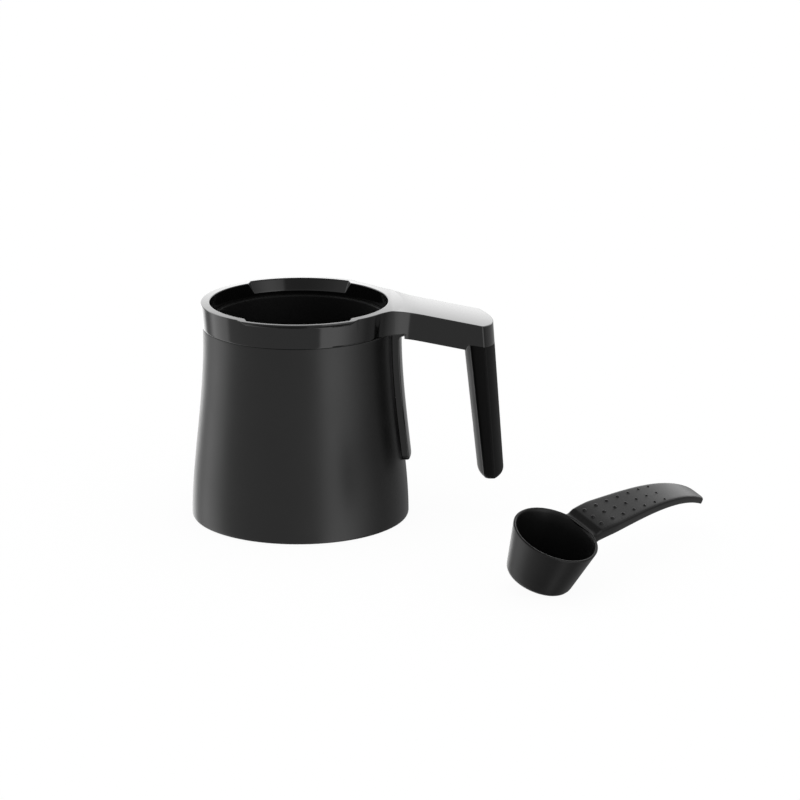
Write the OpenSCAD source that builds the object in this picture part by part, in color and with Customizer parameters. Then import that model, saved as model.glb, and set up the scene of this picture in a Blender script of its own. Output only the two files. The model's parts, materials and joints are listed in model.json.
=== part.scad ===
// Cordless electric coffee pot with an open L-shaped handle, and its measuring scoop.
// Millimetres. +Z is up, +X runs along the handle, the two pouring lips face -Y and +Y.
// The origin is on the pot's axis, in the plane that it stands on.

/* [Body shell] */
// Height of the seam between the shell and the collar
shell_h = 75.8; // [72:0.2:84]
// Outer radius of the shell at its foot
shell_foot_r = 42.5; // [42.5:0.1:46]
// Outer radius of the shell at the collar seam
shell_top_r = 37.2; // [37.2:0.02:38]
// Wall thickness of the shell
shell_wall = 1.8; // [1.4:0.1:2]
// Height of the shell's foot above the resting plane
shell_lift = 0.3; // [0.2:0.1:0.6]

/* [Collar and lips] */
// Height of the collar band above the seam
collar_h = 9.8; // [8:0.2:12]
// Outer radius of the rim
rim_r = 38; // [37.8:0.1:39]
// Radius of the mouth
mouth_r = 34.5; // [34.4:0.1:35]
// How far a pouring lip stands out from the rim
lip_out = 1.1; // [0.6:0.1:1.6]
// Half of the angle that a pouring ramp spans at its upper edge
ramp_half_angle = 31.5; // [20:0.5:33]
// Depth of the pouring ramp below the rim at the mouth
ramp_depth = 4.4; // [3.6:0.2:5.2]
// Width of the flat strip of rim that is left outside the ramp
ramp_margin = 0.6; // [0.4:0.1:1]

/* [Handle arm] */
// Width of the arm
arm_w = 28.2; // [28:0.2:33]
// Thickness of the arm, square to its top face
arm_t = 10.3; // [9.8:0.1:11]
// Downward slope of the arm in degrees
arm_slope = 11.6; // [9:0.1:13]
// Radius of the fillet between the collar and the arm
arm_fillet_r = 22; // [16:1:24]
// Plan radius of the handle's rounded outer end
end_r = 24.5; // [24:0.5:32]
// Wall thickness inside the arm
arm_wall = 2.2; // [1.8:0.1:2.4]

/* [Grip] */
// Height of the grip's lower end above the resting plane
grip_foot_z = 16.8; // [10:0.2:24]
// Depth below the collar's seam at which the grip's thickness and width are given
grip_ref_drop = 5.8; // [4:0.2:10]
// Distance from the pot's axis to the grip's inner face at that height
grip_in_x = 64; // [63.5:0.1:65.5]
// Distance from the pot's axis to the grip's outer face at that height
grip_out_x = 75.7; // [75.5:0.1:78]
// Lean of the inner face in degrees
grip_in_lean = 6.3; // [4.5:0.1:6.5]
// Lean of the outer face in degrees
grip_out_lean = 4.4; // [4:0.1:6]
// Plan radius of the grip's inner face
grip_in_r = 36.5; // [34:0.5:60]
// Width of the grip at its foot
grip_foot_w = 28; // [25:0.2:30]

/* [Tongue] */
// Width of the tongue that runs down the shell below the arm
tongue_w = 20; // [16:0.5:24]
// How far the tongue stands out from the shell
tongue_t = 2.6; // [2.2:0.1:3.4]
// Height of the tongue's lower end above the resting plane
tongue_foot_z = 23; // [14:0.5:30]
// Radius of the tongue's lower corners
tongue_corner_r = 4; // [2:0.5:7]

/* [Inner vessel] */
// Inner radius of the vessel
vessel_r = 32.4; // [31.6:0.1:32.5]
// Sheet thickness of the vessel
vessel_wall = 0.8; // [0.6:0.1:0.8]
// Radius where the vessel's wall meets its floor
vessel_corner_r = 6; // [3:0.5:9]
// Width of the vessel's flange
flange_w = 1.1; // [1:0.05:1.15]
// Thickness of the gasket under the flange
gasket_t = 0.8; // [0.6:0.1:1]

/* [Heater] */
// Radius of the heater plate
plate_r = 27.4; // [27.2:0.1:27.8]
// Thickness of the heater plate
plate_t = 2.8; // [2:0.1:3.5]
// Radius of the heating element's centre line
element_r = 24; // [23.8:0.1:24.2]
// Width and height of the heating element
element_w = 5.8; // [5:0.1:6]
// Gap between the element's two ends in degrees
element_gap = 60; // [50:1:70]

/* [Coupler] */
// Outer radius of the coupler body
coupler_r = 20.5; // [20.4:0.1:20.7]
// Height of the coupler body
coupler_h = 9.9; // [9:0.1:11]
// Radius of the coupler's socket
socket_r = 13.2; // [12.8:0.1:13.6]
// Thickness of the socket's roof
socket_roof = 1.8; // [1.5:0.1:2.2]
// Radius of the centre contact pin
pin_r = 2; // [1.5:0.1:2.4]
// Inner radius of the small contact ring
ring_a_r = 5; // [4.6:0.1:5.1]
// Inner radius of the large contact ring
ring_b_r = 10.8; // [10.6:0.1:11.2]
// Thickness of the contact rings
ring_t = 0.8; // [0.6:0.1:1]

/* [Dry-boil trips] */
// Distance from the axis to each trip
trip_x = 9.6; // [9.6:0.1:9.9]
// Travel of a trip pin
trip_travel = 0.8; // [0.4:0.1:0.9]
// Radius of a trip pin
trip_pin_r = 1; // [0.8:0.05:1.2]
// Radius of a bimetal disc
disc_r = 6.3; // [5.6:0.1:6.35]

/* [Fasteners and fits] */
// Radius of the base screws' shanks
screw_r = 1.5; // [1.2:0.05:1.6]
// Radius of the small screws' shanks
small_screw_r = 1.2; // [1:0.05:1.3]
// Radial clearance between a screw and the hole that it passes
screw_gap = 0.1; // [0.05:0.05:0.2]
// Radial clearance between a trip pin and its guide
pin_gap = 0.05; // [0.03:0.01:0.08]
// Clearance between nested mouldings
part_gap = 0.2; // [0.1:0.05:0.3]
// Seam between the tongue and the shell
seam_gap = 0.15; // [0.1:0.05:0.3]

/* [Measuring scoop] */
// Outer radius of the bowl's mouth
bowl_mouth_r = 16.3; // [14:0.1:18]
// Outer radius of the bowl's foot
bowl_foot_r = 12.5; // [11:0.1:13.5]
// Height of the bowl
bowl_h = 19.1; // [16:0.1:22]
// Wall thickness of the scoop
scoop_wall = 1.2; // [1:0.1:1.6]
// Distance from the bowl's axis to the handle's tip
scoop_reach = 95.5; // [80:0.5:105]
// Widest half width of the scoop's handle
scoop_half_w = 7.8; // [6.5:0.1:9]
// Half width of the scoop's handle at its tip
scoop_tip_half_w = 4.2; // [3:0.1:5.5]
// Skirt depth of the handle at the bowl
skirt_root = 4.9; // [4:0.1:6]
// Skirt depth of the handle at the tip
skirt_tip = 2.7; // [2.2:0.1:3.5]
// Drop of the handle's tip below its highest line
tip_drop = 11; // [5:0.2:12]
// Radius of the largest grip dot
dot_r = 0.8; // [0.5:0.05:1]
// Rows of grip dots
dot_rows = 3; // [1:1:3]
// Columns of grip dots
dot_cols = 7; // [2:1:8]
// Where the scoop stands: distance along the handle's direction
scoop_x = 87.8; // [84:0.1:110]
// Where the scoop stands: distance in front of the pot's axis
scoop_y = 92.4; // [80:0.1:110]
// Direction of the scoop's handle in degrees from +X
scoop_turn = 49; // [30:1:70]
// Roll of the scoop about its handle in degrees
scoop_roll = 23.6; // [0:0.2:30]

/* [Hidden] */
$fn = 96;
eps = 0.01;
big = 200;

// Heights of the stack inside the pot, from the resting plane upwards.
cover_t = 2.4;
cover_boss_h = 2;
seal_t = 0.8;
seal_w = 1.6;
ledge_t = 1.8;
coupler_lift = 0.6;
coupler_top = coupler_lift + coupler_h;
trip_room = 7.9;
plate_z = coupler_top + trip_room;
vessel_foot = plate_z + plate_t;
rim_z = shell_h + collar_h;
grip_ref_z = shell_h - grip_ref_drop;
vessel_drop = 7.6;
gasket_z = rim_z - vessel_drop;
flange_z = gasket_z + gasket_t;
spigot_foot = shell_h - 4;
vessel_corner_steps = 6;
ledge_r = vessel_r + vessel_wall + part_gap;
spigot_r = shell_top_r - shell_wall - 0.1;
ledge_reach = 2.2;
ledge_root = 1;
ledge_in_r = shell_foot_r - shell_wall - ledge_reach;
collar_step = 0.07;
cover_gap = 0.35;
cover_r = shell_foot_r - shell_wall - cover_gap;
cover_hole_gap = 0.3;
cover_boss_w = 1.9;

// Pouring lips: the rim's flare, the ramp inside it, and the leaning planes that end them.
// A plane passes through the rim at a radius and an angle from the lip's middle.
flare_drop = 1.5;
flare_root = 1;
flare_edge_t = 0.15;
flare_end = [38, 36.9];
flare_end_turn = 58.7;
flare_end_lean = 46;
ramp_end_r = 34.5;
ramp_end_over = 4.6;
ramp_end_turn = 78.2;
ramp_end_lean = 24.8;
lip_sweep = 44;

// Shell outline: one smooth curve from the foot to the seam.
shell_curve = [[shell_foot_r, 0], [shell_foot_r + 0.2, 0.276 * shell_h],
               [shell_top_r - 0.5, 0.639 * shell_h], [shell_top_r, shell_h]];
shell_steps = 20;

// Arm: measured from the line where its top face leaves the rim's plane.
arm_start_x = mouth_r + 0.23;
arm_under_x = rim_r + 2.5;
arm_len = grip_out_x;
arm_root_x = 20;
step_at = 32;
step_run = 1.2;
step_h = 2.25;
joint_depth = arm_t - step_h;
root_reach = 4;
root_over = 0.4;
fillet_sink = 0.02;
fillet_y = arm_w / 2 + arm_fillet_r - fillet_sink;
fillet_end_x = sqrt(pow(rim_r + arm_fillet_r, 2) - pow(fillet_y, 2));
fillet_c = [fillet_end_x, fillet_y];
fillet_start = fillet_c * rim_r / (rim_r + arm_fillet_r);

// Hollow of the arm, its cover and the screws in it, in the arm's own directions.
pocket_start = 12;
pocket_end = 38.6;
pocket_half_w = arm_w / 2 - 3;
pocket_floor_t = 1.6;
pocket_over = 0.5;
cover_start = 10.6;
cover_end = step_at - 1.6;
cover_half_w = arm_w / 2 - 1.6;
cover_plate_t = 1.6;
cover_screw_at = 20;
cover_screw_y = arm_w / 2 - 4.6;
boss_drop = 2.2;
boss_root = 0.5;
boss_r = 2.6;
cover_boss_r = 2.4;
thread_gap = 0.05;
strap_start = 14.5;
strap_screw_at = [17.5, 27.5];
strap_t = 1.8;
strap_w = 13;
strap_leg_t = 2.4;
strap_foot_rise = 12;
strap_foot_z = grip_foot_z + strap_foot_rise;
head_t = 1.3;
head_r = 2.4;
cover_screw_len = 4.6;
strap_screw_end = 0.3;
grip_head_sink = 2;

// The strap's leg follows the middle of the grip.
function grip_in_at(z) = grip_in_x + (grip_ref_z - z) * tan(grip_in_lean);
function grip_out_at(z) = grip_out_x + (grip_ref_z - z) * tan(grip_out_lean);
function grip_mid_at(z) = (grip_in_at(z) + grip_out_at(z)) / 2;
strap_roof = arm_wall + boss_drop;
leg_top_x = grip_mid_at(grip_ref_z);
grip_screw_rise = 18;
leg_room_arm = 4;
leg_room_grip = 10;
grip_screw_z = grip_foot_z + grip_screw_rise;
grip_over = 0.2;

// Tongue screws sit at two places on the shell's curve.
tongue_screw_t = [0.45, 0.72];
boss_reach = shell_wall + 0.7;
tongue_boss_r = 3;
tongue_head_r = 4;
tongue_head_t = 1.2;
tongue_screw_end = 0.4;

// Pillars under the vessel and the coupler's posts under the heater plate.
pillar_at_r = 30.2;
pillar_r = 2.3;
pillar_angles = [60, 180, 300];
base_head_r = 2.7;
base_head_t = 1.8;
base_head_z = base_head_t + 0.4;
coupler_head_z = coupler_lift + 3;
post_at_r = 17.4;
post_r = 2.6;
post_angles = [90, 210, 330];
thread_depth = 8;
screw_end_gap = 1.5;

// Trips.
cup_floor = plate_z - 1;
cup_floor_t = 0.8;
cup_r = disc_r + 0.85;
tower_r = 3.2;
leaf_z = coupler_top + 1.4;
leaf_t = 0.25;
leaf_w = 3;
leaf_slot_h = 2.4;
disc_t = 0.2;
disc_rise = 0.75;
rivet_r = 1.2;
rivet_h = 0.6;
pin_end_gap = 0.1;
leaf_foot = 2;
leaf_slot_z = coupler_top + 0.4;
arch_t = 0.6;
arch_over = 0.6;
leaf_root_y = -8.8;
leaf_tip_y = 7;
rivet_y = 5.8;
left = -1;
right = 1;

// Heating element, its cold ends, the fuse and the boil sensor.
element_span = 360 - element_gap;
element_chamfer = 1.2;
cold_pin_r = 1;
cold_pin_turn = 4;
cold_pin_foot = coupler_lift + 7.4;
fuse_r = 1.9;
fuse_len = 9;
fuse_y = -14.6;
fuse_z = plate_z - fuse_r - 0.1;
fuse_lead_r = 0.5;
fuse_lead = 3.5;
sensor_r = 1.7;
sensor_foot = coupler_top + 2.5;
spring_t = 0.4;
spring_w = 3.2;
spring_root_y = -8;
spring_bend_y = -3.2;
spring_tip_y = 2.2;

// Coupler contacts.
socket_top = coupler_top - socket_roof;
contact_foot = coupler_lift + 1.6;
pin_reach = 0.6;
pin_shoulder = 0.4;
pin_rivet = 0.8;
contact_gap = 0.05;
tab_t = ring_t;
tab_w = 4;
tab_h = 3.2;

// Leads: routes in X, Y and height from the fuse's axis.
lead_r = 0.8;
lead_sides = 8;
lead_to_right_pin = [[8.2, -14.6, 0], [9.4, -15, -0.3], [9.8, -16.4, -2], [9.8, -18.2, -4.8],
                     [10.1, -19.7, -6.3], [10.9, -20.67, -7], [12.18, -20.28, -7]];
lead_to_fuse = [[-0.9, -12.75, -4], [-3.5, -12.9, -3.6], [-7, -13.2, -2.6], [-9.6, -13.9, -1.2],
                [-9.7, -14.5, -0.3], [-8.2, -14.6, 0]];
lead_to_left_pin = [[-0.8, 7, -3.8], [-3.2, 7.2, -2.6], [-4.9, 5.6, -1.8], [-5.4, 2.5, -1.6],
                    [-5.4, -3, -1.6], [-7, -8, -1.8], [-10.6, -10.8, -2.4], [-11.5, -15.5, -3.8],
                    [-10.5, -18.8, -5.6], [-10.9, -20.67, -7], [-12.18, -20.28, -7]];

// Scoop: handle, grip dots and bowl.
handle_root = bowl_mouth_r - 1.5;
handle_wide_at = 28;
handle_flat_to = 35;
handle_rise = 1.9;
handle_steps = 18;
handle_bow = 2.8;
tip_cut = 1.6;
dot_first = 21.6;
dot_pitch = 6.8;
dot_row_pitch = 4.2;
dot_shrink = 0.45;
dot_sink = 0.35;
bowl_flare = (bowl_mouth_r - bowl_foot_r) / bowl_h;
bowl_floor_t = 1.4;
bowl_corner = 1.5;

// Rounded lower edge of the bowl, and how high that edge holds the rolled bowl.
foot_edge = [[bowl_foot_r - 0.8, 0], [bowl_foot_r - 0.25, 0.2], [bowl_foot_r + 0.1, 0.8]];
scoop_lift = max([for (p = foot_edge) p[0] * sin(scoop_roll) - p[1] * cos(scoop_roll)]);

black = [0.05, 0.05, 0.055];
satin = [0.09, 0.09, 0.095];
steel = [0.72, 0.72, 0.74];
aluminium = [0.8, 0.8, 0.82];
brass = [0.78, 0.6, 0.28];
silicone = [0.5, 0.16, 0.12];
moulding = [0.16, 0.16, 0.17];

function bezier(p, t) =
    pow(1 - t, 3) * p[0] + 3 * pow(1 - t, 2) * t * p[1] + 3 * (1 - t) * t * t * p[2] + t * t * t * p[3];
function shell_points(out) = [for (i = [0:shell_steps]) bezier(shell_curve, i / shell_steps) + [out, 0]];
function reversed(list) = [for (i = [len(list) - 1:-1:0]) list[i]];

// Solid of revolution filled from the axis to the shell's outline moved outwards.
module shell_plug(out) {
    rotate_extrude() polygon(concat([[0, shell_h], [0, 0]], shell_points(out)));
}

module ring(r_in, r_out, z_lo, z_hi) {
    rotate_extrude() polygon([[r_in, z_lo], [r_out, z_lo], [r_out, z_hi], [r_in, z_hi]]);
}

module bore(r, z_lo, z_hi) {
    translate([0, 0, z_lo]) cylinder(r = r, h = z_hi - z_lo);
}

module around(angles, at_r) {
    for (a = angles) rotate([0, 0, a]) translate([at_r, 0, 0]) children();
}

// Pan-head screw that points up: the head's underside is at z = 0.
module screw(shank_r, length, r_head, t_head) {
    bore(shank_r, 0, length);
    difference() {
        bore(r_head, -t_head, 0);
        translate([0, 0, -t_head]) linear_extrude(t_head / 2) {
            square([r_head * 1.2, r_head * 0.3], center = true);
            square([r_head * 0.3, r_head * 1.2], center = true);
        }
    }
}

// Puts things in the arm's directions: x along its top face, z square to it.
module on_arm() {
    translate([arm_start_x, 0, rim_z]) rotate([0, arm_slope, 0]) children();
}

module arm_box(x_lo, x_hi, half_w, z_lo, z_hi) {
    translate([x_lo, -half_w, z_lo]) cube([x_hi - x_lo, 2 * half_w, z_hi - z_lo]);
}

module side_profile(points, half_w) {
    rotate([90, 0, 0]) translate([0, 0, -half_w]) linear_extrude(2 * half_w) polygon(points);
}

// ---------------------------------------------------------------- body shell
module body_shell() {
    ledge_z = cover_t + seal_t;
    color(satin) difference() {
        union() {
            difference() {
                shell_plug(0);
                shell_plug_inner();
            }
            ring(ledge_in_r, shell_foot_r - ledge_root, ledge_z, ledge_z + ledge_t);
        }
        bore(big, -1, shell_lift);
        for (t = tongue_screw_t) at_shell(t) rotate([0, 90, 0])
            bore(tongue_boss_r + part_gap, -3 * boss_reach, boss_reach);
    }
}

module shell_plug_inner() {
    rotate_extrude() polygon(concat([[0, shell_h + 1], [0, -1], [shell_foot_r - shell_wall, -1]],
                                    shell_points(-shell_wall),
                                    [[shell_top_r - shell_wall, shell_h + 1]]));
}

// Moves things to a place on the shell's outline below the arm.
module at_shell(t) {
    p = bezier(shell_curve, t);
    translate([p[0], 0, p[1]]) children();
}

// ------------------------------------------------- collar, arm and tongue
module handle_frame() {
    color(black) difference() {
        union() {
            difference() {
                union() {
                    collar_ring();
                    for (side = [90, -90]) rotate([0, 0, side]) lip();
                    arm_plan();
                    arm_block();
                    tongue();
                }
                on_arm() translate([0, -big / 2, 0]) cube([big, big, big / 4]);
                collar_bore();
                for (side = [90, -90]) rotate([0, 0, side]) ramp();
                arm_hollow();
            }
            arm_bosses();
            tongue_bosses();
        }
        on_arm() {
            for (x = strap_screw_at) translate([x, 0, 0])
                bore(small_screw_r + thread_gap, -arm_t, -arm_wall);
            for (side = [left, right]) translate([cover_screw_at, side * cover_screw_y, 0])
                bore(small_screw_r + thread_gap, -arm_t, -arm_wall - 1);
        }
        for (t = tongue_screw_t) at_shell(t) rotate([0, 90, 0])
            bore(small_screw_r + thread_gap, -boss_reach - 1, tongue_t / 2);
    }
}

module collar_ring() {
    rotate_extrude() polygon([[ledge_r, spigot_foot], [spigot_r, spigot_foot], [spigot_r, shell_h],
                              [shell_top_r + collar_step, shell_h], [rim_r, rim_z], [ledge_r, rim_z]]);
}

module collar_bore() {
    bore(mouth_r, gasket_z, rim_z + 1);
    bore(ledge_r, 0, rim_z);
    difference() {
        shell_plug(seam_gap);
        translate([0, 0, -eps]) bore(spigot_r, spigot_foot, shell_h + 1);
    }
}

// The rim's flare at a pouring lip, facing +X before it is turned to its side.
module lip() {
    lip_ends(flare_end[0], flare_end[1], flare_end_turn, flare_end_lean)
        lip_sector() polygon([[rim_r - flare_root, rim_z - flare_drop], [rim_r - 0.1, rim_z - flare_drop],
                              [rim_r + lip_out, rim_z - flare_edge_t], [rim_r + lip_out, rim_z],
                              [rim_r - flare_root, rim_z]]);
}

module ramp() {
    top_r = rim_r - ramp_margin;
    slope = ramp_depth / (top_r - mouth_r);
    lip_ends(ramp_end_r, ramp_half_angle + ramp_end_over, ramp_end_turn, ramp_end_lean)
        lip_sector() polygon([[mouth_r - 1, rim_z - ramp_depth - slope], [top_r + 1 / slope, rim_z + 1],
                              [mouth_r - 1, rim_z + 1]]);
}

module lip_sector() {
    rotate([0, 0, -lip_sweep]) rotate_extrude(angle = 2 * lip_sweep) children();
}

// Keeps what lies between the two planes that end a lip.
module lip_ends(at_r, at_angle, turn, lean) {
    intersection() {
        children();
        lip_half(left, at_r, at_angle, turn, lean);
        lip_half(right, at_r, at_angle, turn, lean);
    }
}

module lip_half(side, at_r, at_angle, turn, lean) {
    rotate([0, 0, side * at_angle]) translate([at_r, 0, rim_z]) rotate([0, 0, side * (turn - at_angle)])
        rotate([0, lean, 0]) translate([-big, -big / 2, -big / 2]) cube(big);
}

// Fillets between the collar and the arm, level with the collar.
module arm_plan() {
    translate([0, 0, shell_h]) linear_extrude(collar_h) difference() {
        polygon([[arm_root_x, 0], fillet_start, [fillet_end_x, arm_w / 2 - fillet_sink / 2],
                 [fillet_end_x, fillet_sink / 2 - arm_w / 2],
                 [fillet_start[0], -fillet_start[1]]]);
        for (side = [left, right]) translate([fillet_c[0], side * fillet_c[1]])
            circle(r = arm_fillet_r, $fn = 180);
    }
}

// A leaning cylinder whose face passes through x at the grip's reference height.
module leaning_cylinder(face_x, r, lean, inner) {
    axis_x = inner ? face_x + r : face_x - r;
    translate([axis_x, 0, grip_ref_z]) rotate([0, -lean, 0])
        cylinder(r = r, h = big, center = true, $fn = 180);
}

module arm_block() {
    start = (arm_under_x - arm_start_x) / cos(arm_slope) + arm_t * tan(arm_slope);
    intersection() {
        on_arm() union() {
            side_profile([[start, 0], [start, -arm_t], [step_at, -arm_t], [step_at + step_run, -joint_depth],
                          [arm_len, -joint_depth], [arm_len, 0]], arm_w / 2);
            arm_box(start - root_reach, start + 2, tongue_w / 2 + root_over, -arm_t, 0);
        }
        leaning_cylinder(grip_out_x, end_r, grip_out_lean, false);
    }
}

module tongue() {
    corner_y = tongue_w / 2 - tongue_corner_r;
    intersection() {
        shell_plug(tongue_t);
        translate([0, 0, tongue_foot_z]) rotate([90, 0, 90]) linear_extrude(big) {
            translate([-tongue_w / 2, tongue_corner_r])
                square([tongue_w, shell_h - tongue_foot_z - tongue_corner_r]);
            for (side = [left, right]) translate([side * corner_y, tongue_corner_r])
                circle(r = tongue_corner_r);
            translate([-corner_y, 0]) square([2 * corner_y, 2 * tongue_corner_r]);
        }
    }
}

// Bosses on the tongue's back that reach through the shell to their screws.
module tongue_bosses() {
    for (t = tongue_screw_t) at_shell(t) rotate([0, 90, 0]) bore(tongue_boss_r, -boss_reach, tongue_t / 2);
}

module arm_hollow() {
    on_arm() {
        arm_box(pocket_start, cover_end - pocket_over, pocket_half_w, -arm_t - 1, -arm_wall);
        arm_box(pocket_start, pocket_end, strap_w / 2 + 1, pocket_floor_t - joint_depth, -arm_wall);
        arm_box(cover_start - part_gap, cover_end + part_gap, cover_half_w + part_gap, -arm_t - 1,
                -arm_t + cover_plate_t);
    }
    strap_leg(strap_w / 2 + part_gap, part_gap, grip_ref_z + leg_room_arm);
}

module arm_bosses() {
    on_arm() {
        for (x = strap_screw_at) translate([x, 0, 0]) bore(boss_r, -strap_roof, -arm_wall + boss_root);
        for (side = [left, right]) translate([cover_screw_at, side * cover_screw_y, 0])
            bore(cover_boss_r, cover_plate_t - arm_t, -arm_wall + boss_root);
    }
}

module tongue_screws() {
    color(steel) for (t = tongue_screw_t) at_shell(t) translate([-boss_reach, 0, 0]) rotate([0, 90, 0])
        screw(small_screw_r, boss_reach + tongue_t / 2 - tongue_screw_end, tongue_head_r, tongue_head_t);
}

// ---------------------------------------------------------------- arm cover
module arm_cover() {
    color(black) on_arm() difference() {
        arm_box(cover_start, cover_end, cover_half_w, -arm_t, -arm_t + cover_plate_t);
        for (side = [left, right]) translate([cover_screw_at, side * cover_screw_y, 0]) {
            bore(small_screw_r + screw_gap, -arm_t - 1, 0);
            bore(head_r, -arm_t - 1, -arm_t + cover_plate_t / 2);
        }
    }
}

module arm_cover_screws() {
    color(steel) on_arm() for (side = [left, right])
        translate([cover_screw_at, side * cover_screw_y, -arm_t + cover_plate_t / 2])
            screw(small_screw_r, cover_screw_len, head_r - screw_gap, cover_plate_t / 2);
}

// --------------------------------------------------------------------- grip
module grip() {
    color(black) difference() {
        intersection() {
            leaning_cylinder(grip_out_x, end_r, grip_out_lean, false);
            leaning_cylinder(grip_in_x, grip_in_r, grip_in_lean, true);
            grip_sides();
            on_arm() side_profile([[0, -arm_t], [0, -3 * arm_len], [2 * arm_len, -3 * arm_len],
                                   [2 * arm_len, -joint_depth], [step_at + step_run, -joint_depth],
                                   [step_at, -arm_t]], arm_w);
        }
        strap_leg(strap_w / 2 + part_gap, part_gap, grip_ref_z + leg_room_grip);
        grip_screw_place() {
            bore(small_screw_r + screw_gap, -big / 10, 0);
            bore(head_r, -big / 10, -strap_leg_t / 2 - grip_head_sink);
        }
    }
}

// Straight tapering sides, from the arm's width down to the foot's width.
module grip_sides() {
    top_half = arm_w / 2;
    foot_half = grip_foot_w / 2;
    rise = grip_ref_z - grip_foot_z;
    over = top_half + grip_over * (top_half - foot_half);
    rotate([90, 0, 90]) linear_extrude(big)
        polygon([[-foot_half, grip_foot_z], [foot_half, grip_foot_z], [over, grip_ref_z + grip_over * rise],
                 [-over, grip_ref_z + grip_over * rise]]);
}

// Upright leg of the strap, widened by gap, reaching up to z_hi.
module strap_leg(half_w, gap, z_hi) {
    z_lo = strap_foot_z - gap;
    half_t = strap_leg_t / 2 + gap;
    side_profile([[grip_mid_at(z_lo) - half_t, z_lo], [grip_mid_at(z_lo) + half_t, z_lo],
                  [grip_mid_at(z_hi) + half_t, z_hi], [grip_mid_at(z_hi) - half_t, z_hi]], half_w);
}

module grip_screw_place() {
    lean = (grip_in_lean + grip_out_lean) / 2;
    translate([grip_mid_at(grip_screw_z), 0, grip_screw_z]) rotate([0, 90 - lean, 0]) children();
}

module grip_strap() {
    color(steel) difference() {
        side_profile([arm_point(strap_start, strap_roof), strap_bend(strap_roof, strap_leg_t / 2),
                      [grip_mid_at(strap_foot_z) + strap_leg_t / 2, strap_foot_z],
                      [grip_mid_at(strap_foot_z) - strap_leg_t / 2, strap_foot_z],
                      strap_bend(strap_roof + strap_t, -strap_leg_t / 2),
                      arm_point(strap_start, strap_roof + strap_t)], strap_w / 2);
        on_arm() for (x = strap_screw_at) translate([x, 0, 0]) bore(small_screw_r + screw_gap, -arm_t, 0);
        grip_screw_place() bore(small_screw_r + thread_gap, -2 * strap_leg_t, 2 * strap_leg_t);
    }
}

// X and Z of a point at a distance along the arm's top face and a depth below it.
function arm_point(along, depth) =
    [arm_start_x + along * cos(arm_slope) - depth * sin(arm_slope),
     rim_z - along * sin(arm_slope) - depth * cos(arm_slope)];

// Where the strap's leg, moved out by off, meets a plane at a depth below the arm's top face.
function strap_bend(depth, off) =
    let (lean = (tan(grip_in_lean) + tan(grip_out_lean)) / 2,
         top = rim_z + arm_start_x * tan(arm_slope) - depth / cos(arm_slope),
         x = (leg_top_x + off + lean * (grip_ref_z - top)) / (1 - lean * tan(arm_slope)))
    [x, top - x * tan(arm_slope)];

module strap_screws() {
    length = strap_t + boss_drop - strap_screw_end;
    color(steel) on_arm() for (x = strap_screw_at) translate([x, 0, -strap_roof - strap_t])
        screw(small_screw_r, length, head_r, head_t);
}

module grip_screw() {
    color(steel) grip_screw_place() translate([0, 0, -strap_leg_t / 2 - grip_head_sink])
        screw(small_screw_r, grip_head_sink + strap_leg_t, head_r - screw_gap, head_t);
}

// ------------------------------------------------------------- inner vessel
module inner_vessel() {
    r_out = vessel_r + vessel_wall;
    foot = vessel_foot;
    c = vessel_corner_r;
    step = 90 / vessel_corner_steps;
    arc = [for (i = [0:vessel_corner_steps]) [sin(step * i), -cos(step * i)]];
    color([0.03, 0.03, 0.03]) rotate_extrude() polygon(concat(
        [[0, foot + vessel_wall], [0, foot]],
        [for (p = arc) [r_out - c - vessel_wall, foot + c + vessel_wall] + (c + vessel_wall) * p],
        [[r_out, flange_z], [vessel_r + vessel_wall + flange_w, flange_z],
         [vessel_r + vessel_wall + flange_w, flange_z + vessel_wall], [vessel_r, flange_z + vessel_wall]],
        [for (p = reversed(arc)) [vessel_r - c, foot + c + vessel_wall] + c * p]));
}

module rim_gasket() {
    color(silicone) ring(ledge_r, mouth_r - part_gap, gasket_z, flange_z);
}

module vessel_pillars() {
    color(steel) around(pillar_angles, pillar_at_r) difference() {
        bore(pillar_r, cover_t + cover_boss_h, vessel_foot);
        bore(screw_r + thread_gap, cover_t, cover_t + cover_boss_h + thread_depth);
    }
}

// ------------------------------------------------------------------- heater
module heater_plate() {
    color(aluminium) difference() {
        union() {
            bore(plate_r, plate_z, vessel_foot);
            around(post_angles, post_at_r) bore(post_r, coupler_top, plate_z + eps);
        }
        around(post_angles, post_at_r)
            bore(screw_r + thread_gap, coupler_top - 1, coupler_top + thread_depth);
        bore(sensor_r + part_gap, plate_z - 1, vessel_foot + 1);
    }
}

module heating_element() {
    h = element_w / 2;
    c = h - element_chamfer;
    zc = plate_z - h;
    color([0.55, 0.55, 0.56]) {
        rotate([0, 0, -90 + element_gap / 2]) rotate_extrude(angle = element_span)
            translate([element_r, zc]) polygon([[-h, h], [-h, -c], [-c, -h], [c, -h], [h, -c], [h, h]]);
        for (side = [left, right]) rotate([0, 0, -90 + side * (element_gap / 2 + cold_pin_turn)])
            translate([element_r, 0, 0]) bore(cold_pin_r, cold_pin_foot, zc);
    }
}

module thermal_fuse() {
    color([0.85, 0.85, 0.8]) translate([0, fuse_y, fuse_z]) rotate([0, 90, 0]) {
        cylinder(r = fuse_r, h = fuse_len, center = true);
        cylinder(r = fuse_lead_r, h = fuse_len + 2 * fuse_lead, center = true);
    }
}

module boil_sensor() {
    color(brass) bore(sensor_r, sensor_foot, vessel_foot);
}

// A bent strip that presses the sensor up against the vessel.
module sensor_spring() {
    pad_z = sensor_foot - spring_t;
    color(steel) side_strip(spring_w, [
        [spring_root_y, coupler_top], [spring_bend_y, coupler_top],
        [spring_bend_y, pad_z], [spring_tip_y, pad_z],
        [spring_tip_y, pad_z + spring_t], [spring_bend_y - spring_t, pad_z + spring_t],
        [spring_bend_y - spring_t, coupler_top + spring_t], [spring_root_y, coupler_top + spring_t]]);
}

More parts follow.
